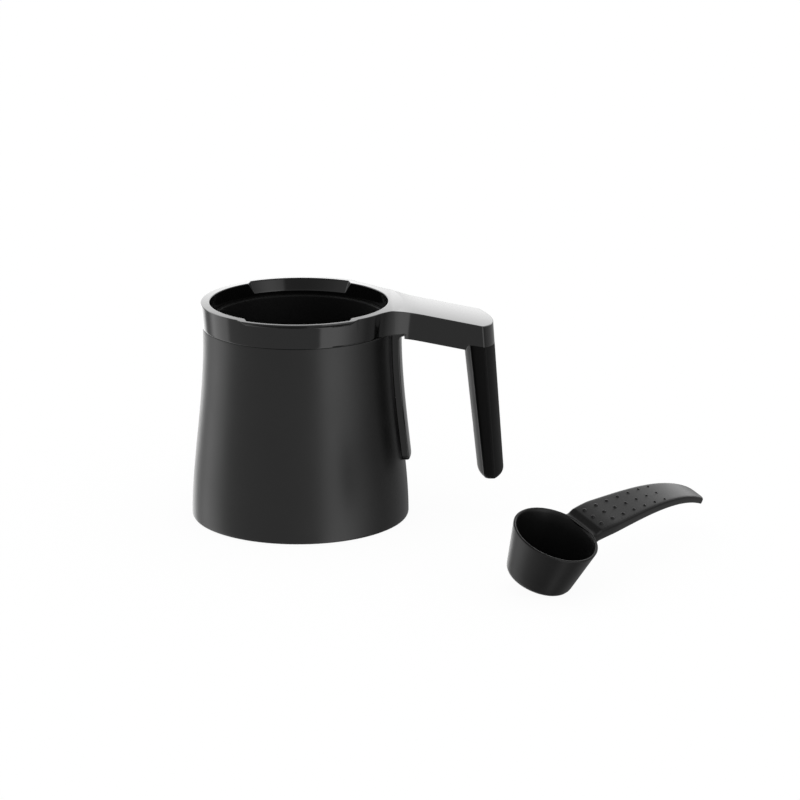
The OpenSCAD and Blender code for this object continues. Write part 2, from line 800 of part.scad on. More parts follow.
// Extrudes an outline given in Y and Z along X.
module side_strip(width, points) {
    rotate([90, 0, 90]) translate([0, 0, -width / 2]) linear_extrude(width) polygon(points);
}

// ------------------------------------------------------------------ coupler
module coupler_body() {
    color(moulding) difference() {
        union() {
            bore(coupler_r, coupler_lift, coupler_top);
            for (side = [left, right]) translate([side * trip_x, 0, 0]) {
                bore(tower_r, coupler_top - eps, cup_floor);
                bore(cup_r, cup_floor - cup_floor_t, cup_floor);
            }
        }
        bore(socket_r, coupler_lift - 1, socket_top);
        bore(pin_r + pin_shoulder + contact_gap, socket_top - 1, coupler_top + 1);
        contact_tab(ring_a_r, 90, part_gap / 2);
        contact_tab(ring_b_r, -90, part_gap / 2);
        around(post_angles, post_at_r) {
            bore(screw_r + screw_gap, coupler_lift - 1, coupler_top + 1);
            bore(base_head_r + screw_gap, coupler_lift - 1, coupler_head_z);
        }
        for (side = [left, right]) translate([side * trip_x, 0, 0]) {
            bore(trip_pin_r + pin_gap, coupler_top, cup_floor + 1);
            translate([-leaf_w / 2 - part_gap, -big / 10, leaf_slot_z])
                cube([leaf_w + 2 * part_gap, big / 5, leaf_slot_h]);
        }
    }
}

module contact_tab(r_in, angle, gap) {
    rotate([0, 0, angle]) translate([r_in - gap, -tab_w / 2 - gap, socket_top - eps])
        cube([tab_t + 2 * gap, tab_w + 2 * gap, socket_roof + tab_h + eps]);
}

module contact_ring(r_in, angle) {
    color(brass) {
        ring(r_in, r_in + ring_t, contact_foot, socket_top);
        contact_tab(r_in, angle, 0);
    }
}

module centre_contact() {
    color(brass) {
        bore(pin_r, contact_foot - pin_reach, socket_top);
        bore(pin_r + pin_shoulder, socket_top, coupler_top + pin_rivet);
    }
}

module coupler_screws() {
    length = coupler_top - coupler_head_z + thread_depth - screw_end_gap;
    color(steel) around(post_angles, post_at_r) translate([0, 0, coupler_head_z])
        screw(screw_r, length, base_head_r, base_head_t);
}

// -------------------------------------------------------------------- trips
module bimetal_disc(side) {
    z = cup_floor;
    color([0.8, 0.74, 0.6]) translate([side * trip_x, 0, 0]) rotate_extrude()
        polygon([[0, z + disc_rise], [disc_r, z], [disc_r, z + disc_t], [0, z + disc_rise + disc_t]]);
}

module trip_pin(side) {
    color("white") translate([side * trip_x, 0, 0])
        bore(trip_pin_r, leaf_z + leaf_t + pin_end_gap, cup_floor + disc_rise - 1.5 * pin_end_gap);
}

module contact_leaf(side) {
    half = leaf_w / 2;
    color(brass) translate([side * trip_x, 0, 0]) {
        translate([-half, leaf_root_y, leaf_z]) cube([leaf_w, leaf_tip_y - leaf_root_y, leaf_t]);
        translate([-half, leaf_root_y, coupler_top]) cube([leaf_w, leaf_foot, leaf_z - coupler_top + eps]);
        translate([0, rivet_y, 0]) bore(rivet_r, leaf_z, leaf_z + leaf_t + rivet_h);
    }
}

module fixed_contacts() {
    z = leaf_z + leaf_t + rivet_h;
    leg_y = leaf_tip_y + arch_over;
    color(brass) for (side = [left, right]) translate([side * trip_x, 0, 0])
        side_strip(leaf_w, [[rivet_y - rivet_r, z], [leg_y, z], [leg_y, coupler_top],
                            [leg_y + arch_t, coupler_top], [leg_y + arch_t, z + arch_t],
                            [rivet_y - rivet_r, z + arch_t]]);
}

// -------------------------------------------------------------------- leads
// A round lead along a route whose heights are counted from the fuse's axis.
module lead(route) {
    n = len(route);
    ways = [for (i = [0:n - 1]) route[min(i + 1, n - 1)] - route[max(i - 1, 0)]];
    points = [for (i = [0:n - 1], k = [0:lead_sides - 1])
        let (t = ways[i] / norm(ways[i]), a = cross(t, [0.6, -0.3, 0.8]), u = a / norm(a), w = cross(u, t),
             turn = 360 * k / lead_sides)
        route[i] + [0, 0, fuse_z] + lead_r * (cos(turn) * u + sin(turn) * w)];
    walls = [for (i = [0:n - 2], k = [0:lead_sides - 1])
        let (a = i * lead_sides, b = (k + 1) % lead_sides)
        [a + k, a + b, a + lead_sides + b, a + lead_sides + k]];
    ends = [[for (k = [lead_sides - 1:-1:0]) k], [for (k = [0:lead_sides - 1]) (n - 1) * lead_sides + k]];
    polyhedron(points, concat(walls, ends));
}

module power_leads() {
    color("white") {
        lead(lead_to_right_pin);
        lead(lead_to_fuse);
        lead(lead_to_left_pin);
    }
}

// --------------------------------------------------------------------- base
module base_cover() {
    color(moulding) difference() {
        union() {
            ring(coupler_r + cover_hole_gap, cover_r, 0, cover_t);
            around(pillar_angles, pillar_at_r)
                bore(pillar_r + cover_boss_w, cover_t - eps, cover_t + cover_boss_h);
        }
        around(pillar_angles, pillar_at_r) {
            bore(screw_r + screw_gap, -1, big / 10);
            bore(base_head_r + screw_gap, -1, base_head_z);
        }
    }
}

module base_seal() {
    color(silicone) ring(cover_r - seal_w, cover_r, cover_t, cover_t + seal_t);
}

module base_screws() {
    length = cover_t + cover_boss_h - base_head_z + thread_depth - screw_end_gap;
    color(steel) around(pillar_angles, pillar_at_r) translate([0, 0, base_head_z])
        screw(screw_r, length, base_head_r, base_head_t);
}

// -------------------------------------------------------------------- scoop
function skirt_at(s) =
    skirt_root + (skirt_tip - skirt_root) * (s - handle_root) / (scoop_reach - handle_root);
function drop_at(s) = s < handle_flat_to ? 0 :
    tip_drop * pow((s - handle_flat_to) / (scoop_reach - handle_flat_to), handle_bow);
function rise_at(s) = s < handle_wide_at ?
    handle_rise * sin(90 * (s - handle_root + 4) / (handle_wide_at - handle_root + 4)) : handle_rise;
function top_at(s) = bowl_h + rise_at(s) - drop_at(s);
function half_at(s) = s < handle_wide_at ?
    scoop_half_w - 0.5 * pow((handle_wide_at - s) / (handle_wide_at - handle_root), 2) :
    scoop_half_w + (scoop_tip_half_w - scoop_half_w) * (s - handle_wide_at) / (scoop_reach - handle_wide_at);
function handle_s(i) = handle_root + (scoop_reach - handle_root) * i / handle_steps;

module scoop_outline(inset) {
    last = scoop_reach - inset;
    span = last - tip_cut - handle_root;
    stations = [for (i = [0:handle_steps]) handle_root + span * i / handle_steps];
    edge = concat([for (s = stations) [s, half_at(s) - inset]], [[last, half_at(last) - inset - tip_cut]]);
    polygon(concat(edge, [for (p = reversed(edge)) [p[0], -p[1]]]));
}

module scoop_side(top_off, bottom_off) {
    stations = [for (i = [0:handle_steps]) handle_s(i)];
    top = [for (s = stations) [s, top_at(s) + top_off]];
    bottom = [for (s = stations) [s, top_at(s) - skirt_at(s) + bottom_off]];
    side_profile(concat(bottom, reversed(top)), big / 4);
}

module scoop_handle() {
    difference() {
        intersection() {
            linear_extrude(big) scoop_outline(0);
            scoop_side(0, 0);
        }
        intersection() {
            linear_extrude(big) scoop_outline(scoop_wall);
            scoop_side(-scoop_wall, -1);
        }
    }
}

module scoop_dots() {
    for (row = [0:dot_rows - 1], col = [0:dot_cols - 1]) {
        s = dot_first + dot_pitch * col;
        r = dot_r * (1 - dot_shrink * col / dot_cols);
        translate([s, dot_row_pitch * (row - (dot_rows - 1) / 2), top_at(s) - dot_sink * r])
            sphere(r = r, $fn = 24);
    }
}

module measuring_scoop() {
    inner_foot = bowl_foot_r - scoop_wall;
    tool_r = bowl_foot_r - scoop_wall / 4;
    wall_line = [[bowl_mouth_r, bowl_h], [bowl_mouth_r - scoop_wall, bowl_h],
                 [inner_foot, bowl_floor_t + bowl_corner], [inner_foot - bowl_corner, bowl_floor_t],
                 [0, bowl_floor_t]];
    color(satin) scoop_place() {
        rotate_extrude() polygon(concat([[0, 0]], foot_edge, wall_line));
        difference() {
            union() {
                scoop_handle();
                scoop_dots();
            }
            translate([0, 0, -eps])
                cylinder(r1 = tool_r, r2 = tool_r + 2 * bowl_h * bowl_flare, h = 2 * bowl_h);
        }
    }
}

module scoop_place() {
    translate([scoop_x, -scoop_y, scoop_lift]) rotate([0, 0, scoop_turn]) rotate([scoop_roll, 0, 0])
        children();
}

body_shell();
handle_frame();
tongue_screws();
arm_cover();
arm_cover_screws();
grip();
grip_strap();
strap_screws();
grip_screw();
inner_vessel();
rim_gasket();
vessel_pillars();
heater_plate();
heating_element();
thermal_fuse();
boil_sensor();
sensor_spring();
coupler_body();
centre_contact();
contact_ring(ring_a_r, 90);  // small_contact_ring
contact_ring(ring_b_r, -90);  // large_contact_ring
coupler_screws();
bimetal_disc(left);  // bimetal_disc_left
bimetal_disc(right);  // bimetal_disc_right
trip_pin(left);  // trip_pin_left
trip_pin(right);  // trip_pin_right
contact_leaf(left);  // contact_leaf_left
contact_leaf(right);  // contact_leaf_right
fixed_contacts();
power_leads();
base_cover();
base_seal();
base_screws();
measuring_scoop();
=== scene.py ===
"""Finished surfaces of a cordless coffee pot and its measuring scoop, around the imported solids."""
import json
import math
import bmesh
import bpy
import numpy as np
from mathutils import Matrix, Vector


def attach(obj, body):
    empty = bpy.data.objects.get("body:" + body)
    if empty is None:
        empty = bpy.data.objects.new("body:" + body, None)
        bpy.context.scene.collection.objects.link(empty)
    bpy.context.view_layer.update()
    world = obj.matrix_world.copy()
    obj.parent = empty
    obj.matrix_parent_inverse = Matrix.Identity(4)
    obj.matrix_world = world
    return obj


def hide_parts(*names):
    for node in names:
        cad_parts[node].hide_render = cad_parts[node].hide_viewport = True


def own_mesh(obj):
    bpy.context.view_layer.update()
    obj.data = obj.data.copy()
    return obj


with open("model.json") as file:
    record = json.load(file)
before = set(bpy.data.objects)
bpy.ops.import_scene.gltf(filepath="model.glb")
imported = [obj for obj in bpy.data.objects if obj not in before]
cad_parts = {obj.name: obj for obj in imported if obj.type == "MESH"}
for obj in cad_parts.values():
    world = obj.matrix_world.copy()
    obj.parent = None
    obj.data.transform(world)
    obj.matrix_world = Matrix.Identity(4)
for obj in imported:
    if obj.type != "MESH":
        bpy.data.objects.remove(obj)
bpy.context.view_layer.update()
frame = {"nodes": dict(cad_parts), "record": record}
NODES = frame["nodes"]
MM = 0.001

# Sizes in millimetres, as in the part's source.
RIM_Z, SEAM_Z, GASKET_Z = 85.6, 75.8, 78.0
SHELL_CURVE = [(42.5, 0.0), (42.7, 20.92), (36.7, 48.44), (37.2, 75.8)]
SHELL_WALL, SHELL_LIFT = 1.8, 0.3
COLLAR_FOOT_R, RIM_R, MOUTH_R, LEDGE_R = 37.27, 38.0, 34.5, 33.4
SPIGOT_R, SPIGOT_Z = 35.3, 71.8
RAMP_TOP_R, RAMP_DEPTH, FLARE_R, FLARE_DROP = 37.4, 4.4, 39.1, 1.5
ARM_HALF, ARM_T, JOINT_T, ARM_SLOPE = 14.1, 10.3, 8.05, math.radians(11.6)
ARM_START, STEP_AT, STEP_RUN = 34.73, 32.0, 1.2
FILLET_R, ARM_WALL_X = 22.0, 40.5
OUT_X, OUT_R, OUT_LEAN = 75.7, 24.5, math.radians(4.4)
IN_X, IN_R, IN_LEAN = 64.0, 36.5, math.radians(6.3)
GRIP_REF_Z, GRIP_FOOT_Z, GRIP_FOOT_HALF = 70.0, 16.8, 14.0
TONGUE_HALF, TONGUE_T, TONGUE_FOOT_Z, TONGUE_CORNER, SEAM = 10.0, 2.6, 23.0, 4.0, 0.15
COVER_FROM, COVER_TO, COVER_HALF, COVER_DEPTH = 10.4, 30.6, 12.7, 1.65
SCREW_Z, SCREW_HEAD_R, SCREW_DEEP = 34.8, 2.4, 3.2
EDGE, HOLD, CORNER = 0.28, 0.16, 1.3
# A lip's ends: degrees from its middle, direction of the leaning plane there, and the plane's lean.
RAMP_END, RAMP_END_LEAN = (36.1, 78.2), 24.8
FLARE_END, FLARE_END_LEAN, FLARE_EDGE = (36.9, 58.7), 46.0, 0.45
MIRROR = np.array([1.0, -1.0, 1.0])
TINY = 0.001 * MM
ROUND_STEPS = (math.pi / 6, math.pi / 3)


# ------------------------------------------------------------------ mesh helpers
class Shape:
    """Collects patches of points in millimetres and welds them into one mesh."""

    def __init__(self):
        self.points, self.faces, self.count = [], [], 0

    def add(self, points, faces):
        points = np.asarray(points, float).reshape(-1, 3)
        self.faces += [[self.count + k for k in face] for face in faces]
        self.points.append(points)
        self.count += len(points)

    def grid(self, rows, wrap_cols=False, wrap_rows=False):
        rows = np.asarray(rows, float)
        n_r, n_c = rows.shape[:2]
        quads = []
        for i in range(n_r if wrap_rows else n_r - 1):
            for j in range(n_c if wrap_cols else n_c - 1):
                low, high = i * n_c, ((i + 1) % n_r) * n_c
                quads.append([low + j, low + (j + 1) % n_c, high + (j + 1) % n_c, high + j])
        self.add(rows, quads)

    def mirrored(self, rows):
        self.grid(rows)
        self.grid(np.asarray(rows, float) * MIRROR)

    def cap(self, loop):
        self.add(loop, [list(range(len(loop)))])

    def fan(self, loop):
        loop = np.asarray(loop, float)
        n = len(loop)
        self.add(np.vstack([loop, loop.mean(axis=0)]), [[k, (k + 1) % n, n] for k in range(n)])

    def piece(self, name, crease=36.0, weld=0.002):
        mesh = bpy.data.meshes.new(name)
        mesh.from_pydata((np.vstack(self.points) * MM).tolist(), [], self.faces)
        welded(mesh, weld * MM, crease)
        return placed(name, mesh)


def placed(name, data):
    """A new object that is linked to the scene."""
    thing = bpy.data.objects.new(name, data)
    bpy.context.scene.collection.objects.link(thing)
    return thing


def welded(mesh, reach, crease, slivers=True, flaps=False):
    """Merges doubles and turns the faces outwards. flaps takes out faces that lie back to back."""
    bm = bmesh.new()
    bm.from_mesh(mesh)
    bmesh.ops.remove_doubles(bm, verts=bm.verts, dist=reach)
    if slivers:
        bmesh.ops.dissolve_degenerate(bm, edges=bm.edges, dist=reach)
    if flaps:
        twins = {}
        for face in bm.faces:
            twins.setdefault(frozenset(face.verts), []).append(face)
        doubled = [face for same in twins.values() if len(same) > 1 for face in same]
        bmesh.ops.delete(bm, geom=doubled, context="FACES")
    bmesh.ops.recalc_face_normals(bm, faces=bm.faces)
    bm.to_mesh(mesh)
    bm.free()
    mesh.polygons.foreach_set("use_smooth", [True] * len(mesh.polygons))
    mesh.set_sharp_from_angle(angle=math.radians(crease))
    mesh.update()


def settled(thing):
    """The plain mesh that an object's modifiers make."""
    bpy.context.view_layer.update()
    mesh = bpy.data.meshes.new_from_object(thing.evaluated_get(bpy.context.evaluated_depsgraph_get()))
    thing.modifiers.clear()
    return mesh


def carve(thing, *changes, crease=36.0):
    """Joins closed bodies to a piece ("UNION") or takes them out of it ("DIFFERENCE"), in turn."""
    for operation, tool in changes:
        change = thing.modifiers.new(operation.lower(), "BOOLEAN")
        change.operation, change.object, change.solver = operation, tool, "EXACT"
        change.use_self = operation == "UNION"
    thing.data = settled(thing)
    for _, tool in changes:
        bpy.data.objects.remove(tool)
    welded(thing.data, TINY, crease, flaps=True)
    return thing


def capped(loops):
    """A body between loops of points, closed at both ends."""
    shape = Shape()
    shape.grid(loops, wrap_cols=True)
    shape.cap(loops[0])
    shape.cap(loops[-1])
    return shape


def rounded(corners, closed=True, steps=5):
    """Rounds the corners (x, y, radius) of a flat outline."""
    out, n = [], len(corners)
    for k, (x, y, r) in enumerate(corners):
        here = np.array([x, y], float)
        if r <= 0 or (not closed and k in (0, n - 1)):
            out.append(here)
            continue
        a = np.array(corners[k - 1][:2], float) - here
        b = np.array(corners[(k + 1) % n][:2], float) - here
        a, b = a / np.linalg.norm(a), b / np.linalg.norm(b)
        half = math.acos(max(-1.0, min(1.0, float(a @ b)))) / 2
        middle = here + (a + b) / np.linalg.norm(a + b) * r / math.sin(half)
        start = here + a * r / math.tan(half) - middle
        end = here + b * r / math.tan(half) - middle
        turn = math.atan2(start[0] * end[1] - start[1] * end[0], float(start @ end))
        for s in range(steps + 1):
            c, q = math.cos(turn * s / steps), math.sin(turn * s / steps)
            out.append(middle + [start[0] * c - start[1] * q, start[0] * q + start[1] * c])
    return np.array(out)


def turned(outline, n=192):
    """Rows of points of a turned body, from an outline of (r, z)."""
    turns = np.linspace(0, 2 * math.pi, n, endpoint=False)
    return np.array([[(r * math.cos(a), r * math.sin(a), z) for a in turns] for r, z in outline])


def bezier(points, t):
    p = [np.array(q, float) for q in points]
    return (1 - t) ** 3 * p[0] + 3 * (1 - t) ** 2 * t * p[1] + 3 * (1 - t) * t * t * p[2] + t ** 3 * p[3]


def solve(function, goal, low, high):
    """Where a rising or falling function reaches a goal between two values."""
    rising = function(high) > function(low)
    for _ in range(50):
        middle = (low + high) / 2
        if (function(middle) < goal) == rising:
            low = middle
        else:
            high = middle
    return (low + high) / 2


SHELL_LINE = np.array([bezier(SHELL_CURVE, t) for t in np.linspace(0, 1, 241)])


def shell_r(z):
    """Outer radius of the shell at height z."""
    return float(np.interp(z, SHELL_LINE[:, 1], SHELL_LINE[:, 0]))


def arm_top_z(x):
    """The rim's plane runs smoothly into the arm's sloping top."""
    slope, blend = math.tan(ARM_SLOPE), 1.2
    d = min(max(x - ARM_START - 0.2, 0.0), blend)
    return RIM_Z - slope * (d * d / (2 * blend) + max(x - ARM_START - 0.2 - blend, 0.0))


def arm_under_z(x):
    """Underside of the arm, with the step where the grip begins."""
    slope, upright = math.tan(ARM_SLOPE), 1 / math.cos(ARM_SLOPE)
    along = (x - ARM_START) * upright + ARM_T * slope
    step = min(max((along - STEP_AT) / STEP_RUN, 0.0), 1.0)
    return RIM_Z - slope * (x - ARM_START) - (ARM_T + (JOINT_T - ARM_T) * step) * upright


def out_face(y, z):
    """X of the handle's rounded outer end."""
    middle = OUT_X - OUT_R + (GRIP_REF_Z - z) * math.tan(OUT_LEAN)
    return middle + math.sqrt(OUT_R ** 2 - y * y) / math.cos(OUT_LEAN)


def in_face(y, z):
    """X of the grip's convex inner face."""
    middle = IN_X + IN_R + (GRIP_REF_Z - z) * math.tan(IN_LEAN)
    return middle - math.sqrt(IN_R ** 2 - y * y) / math.cos(IN_LEAN)


# ------------------------------------------------------------------ body shell
def make_shell():
    """Tapering shell, open at both ends, with its edges slightly rounded."""
    foot_r, top_r = shell_r(SHELL_LIFT), shell_r(SEAM_Z)
    between = [tuple(p) for p in SHELL_LINE[::5] if 2.0 < p[1] < SEAM_Z - 1.0]
    line = [(foot_r - 1.0, SHELL_LIFT), (foot_r - 0.5, SHELL_LIFT + 0.05), (foot_r - 0.2, SHELL_LIFT + 0.22),
            (foot_r - 0.05, SHELL_LIFT + 0.55), (shell_r(1.2), 1.2)]
    line += between
    line += [(shell_r(SEAM_Z - 0.5), SEAM_Z - 0.5), (top_r - 0.02, SEAM_Z - 0.25),
             (top_r - 0.1, SEAM_Z - 0.1), (top_r - 0.25, SEAM_Z - 0.03), (top_r - SHELL_WALL, SEAM_Z - 0.03)]
    line += [(r - SHELL_WALL, z) for r, z in reversed(between)]
    line += [(foot_r - SHELL_WALL, 1.0), (foot_r - SHELL_WALL + 0.2, SHELL_LIFT + 0.1)]
    shape = Shape()
    shape.grid(turned(line, 256), wrap_cols=True, wrap_rows=True)
    return shape.piece("pot_shell")


# ------------------------------------------------------ collar, lips, arm, tongue
def ring_r(z):
    """Outer radius of the collar, which widens slightly upwards."""
    return COLLAR_FOOT_R + (RIM_R - COLLAR_FOOT_R) * min(max((z - SEAM_Z) / (RIM_Z - SEAM_Z), 0.0), 1.0)


def fillet_x(r):
    """X of the middle of the fillet between a collar of radius r and the arm."""
    return math.sqrt((r + FILLET_R) ** 2 - (ARM_HALF + FILLET_R) ** 2)


def outline(column, z):
    """Point and outward direction of one upright column of the outer wall at height z."""
    kind, v = column
    if kind == "ring":
        a = math.radians(v)
        way = np.array([math.cos(a), math.sin(a), 0.0])
        return way * ring_r(z) + [0, 0, z], way
    if kind == "fillet":
        cx, cy = fillet_x(ring_r(z)), ARM_HALF + FILLET_R
        wall = -math.acos((ARM_WALL_X - cx) / FILLET_R)
        start = math.atan2(-cy, -cx)
        turn = start + (wall - start) * v if v <= 1 else wall + (-math.pi / 2 - wall) * (v - 1)
        way = np.array([math.cos(turn), math.sin(turn), 0.0])
        return np.array([cx, cy, z]) + FILLET_R * way, -way
    if kind == "side":
        return np.array([v, ARM_HALF, z]), np.array([0.0, 1.0, 0.0])
    corner_y = ARM_HALF - CORNER
    low = math.asin(corner_y / (OUT_R - CORNER))
    if kind == "corner":
        turn = math.pi / 2 + (low - math.pi / 2) * v
        reach = math.sqrt((OUT_R - CORNER) ** 2 - corner_y ** 2)
        x = out_face(0, z) + (reach - OUT_R) / math.cos(OUT_LEAN)
        way = np.array([math.cos(turn), math.sin(turn), 0.0])
        return np.array([x, corner_y, z]) + CORNER * way, way
    y = OUT_R * math.sin(v * low)
    way = np.array([math.sqrt(OUT_R ** 2 - y * y), y, 0.0]) / OUT_R
    return np.array([out_face(y, z), y, z]), way


def edge_point(column, height, z, inset=0.0):
    """Where a column, moved in by inset, meets the surface height(x)."""
    for _ in range(7):
        at, way = outline(column, z)
        at = at - inset * way
        z = height(at[0])
    return np.array([at[0], at[1], z])


def collar_columns():
    """Columns of the outer wall, from the back of the collar round to the arm's tip."""
    # degrees from a lip's middle at which its ends need points
    ends = [37.4, 36.9, 36.4, 35.9, 35.3, 34.6, 33.9, 33.2, 32.9, 32.65, 32.2, 31.7, 31.35, 31.1, 30.5]
    tangent = math.degrees(math.atan2(ARM_HALF + FILLET_R, fillet_x(RIM_R)))
    angles = list(np.linspace(180, 90 + ends[0], 30)[:-1]) + [90 + off for off in ends]
    angles += list(np.linspace(90 + ends[-1], 90 - ends[-1], 50)[1:-1]) + [90 - off for off in reversed(ends)]
    angles += list(np.linspace(90 - ends[0], tangent, 14)[1:-1])
    columns = [("ring", a) for a in angles]
    last_ring = len(columns)
    # where the rim's plane bends into the arm's slope
    bend_x = [35.1, 35.4, 35.7, 36.0, 36.3]
    top_x = lambda v: edge_point(("fillet", v), arm_top_z, RIM_Z, EDGE + HOLD)[0]
    marks = [solve(top_x, x, 0, 2) for x in bend_x]
    values = list(np.linspace(0, marks[0], 13)) + marks[1:] + list(np.linspace(marks[-1], 1, 9)[1:])
    columns += [("fillet", v) for v in values]
    split = len(columns) - 1
    flat_from = last_ring + 12
    columns += [("fillet", v) for v in np.linspace(1, 2, 8)[1:]]
    c, s = math.cos(ARM_SLOPE), math.sin(ARM_SLOPE)
    steps = [ARM_START + STEP_AT * c - ARM_T * s, ARM_START + (STEP_AT + STEP_RUN) * c - JOINT_T * s]
    last = outline(("corner", 0), RIM_Z)[0][0] - 0.1
    sides = list(np.linspace(fillet_x(RIM_R), steps[0], 16)[1:])
    sides += list(np.linspace(steps[0], steps[1], 4)[1:]) + list(np.linspace(steps[1], last, 5)[1:])
    columns += [("side", x) for x in sides]
    columns += [("corner", v) for v in np.linspace(0, 1, 6)]
    columns += [("end", v) for v in np.linspace(1, 0, 17)[1:]]
    return columns, last_ring, flat_from, split


def end_plane(r, off, at_r, at_off, turn, lean):
    """Height from the rim of the leaning plane that ends a lip, off degrees from the lip's middle."""
    reach = r * math.cos(math.radians(turn - off)) - at_r * math.cos(math.radians(turn - at_off))
    return reach / math.tan(math.radians(lean))


def end_radius(off, at_r, at_off, turn):
    """Radius at which that plane meets the rim."""
    return at_r * math.cos(math.radians(turn - at_off)) / math.cos(math.radians(turn - off))


def mouth_line(off):
    """Section of the collar's inside: wall, pouring ramp, flat rim."""
    drop = min(max(end_plane(MOUTH_R, off, MOUTH_R, *RAMP_END, RAMP_END_LEAN), -RAMP_DEPTH), -0.2)
    top_r = min(max(end_radius(off, MOUTH_R, *RAMP_END), MOUTH_R + 0.2), RAMP_TOP_R)
    line = rounded([(MOUTH_R, GASKET_Z, 0), (MOUTH_R, RIM_Z + drop, 0.3), (top_r, RIM_Z, 0.3),
                    (top_r + 0.32, RIM_Z, 0)], False, 4)
    wall, ramp = line[1] - [0, 0.3], line[6] - line[5]
    line = [line[0], wall] + list(line[1:6]) + [line[5] + ramp * 0.12, line[6] - ramp * 0.12] + list(line[6:])
    return [(LEDGE_R, GASKET_Z)] + [tuple(p) for p in line]


def flare_line(off):
    """Section of the rim's flare at a lip, and how much of it there is."""
    off = min(off, FLARE_END[1])
    bottom = min(max(end_plane(ring_r(RIM_Z), off, RIM_R, *FLARE_END, FLARE_END_LEAN), -FLARE_DROP), 0.0)
    edge = min(max(end_plane(FLARE_R, off, RIM_R, *FLARE_END, FLARE_END_LEAN), -FLARE_EDGE), 0.0)
    r = min(max(end_radius(off, RIM_R, *FLARE_END), RIM_R), FLARE_R)
    wall_r = ring_r(RIM_Z + bottom)
    under = lambda f: (r + (wall_r - r) * f, edge - 0.06 + (bottom - edge + 0.06) * f)
    line = [(r - 0.44, 0.0), (r - 0.14, 0.0), (r - 0.04, -0.02), (r, -0.05), (r, edge - 0.06)]
    line += [under(0.1), under(0.5), under(0.95), (wall_r, bottom - 0.07), (wall_r, bottom - 0.5)]
    return [(q, RIM_Z + z) for q, z in line], min(max((r - RIM_R) * 5, 0.0), 1.0)


def rounding(r, turn, way):
    """From a sharp lower edge to its rounding, turn radians on from the wall."""
    return -r * (1 - math.cos(turn)) * way + [0, 0, r * (1 - math.sin(turn))]


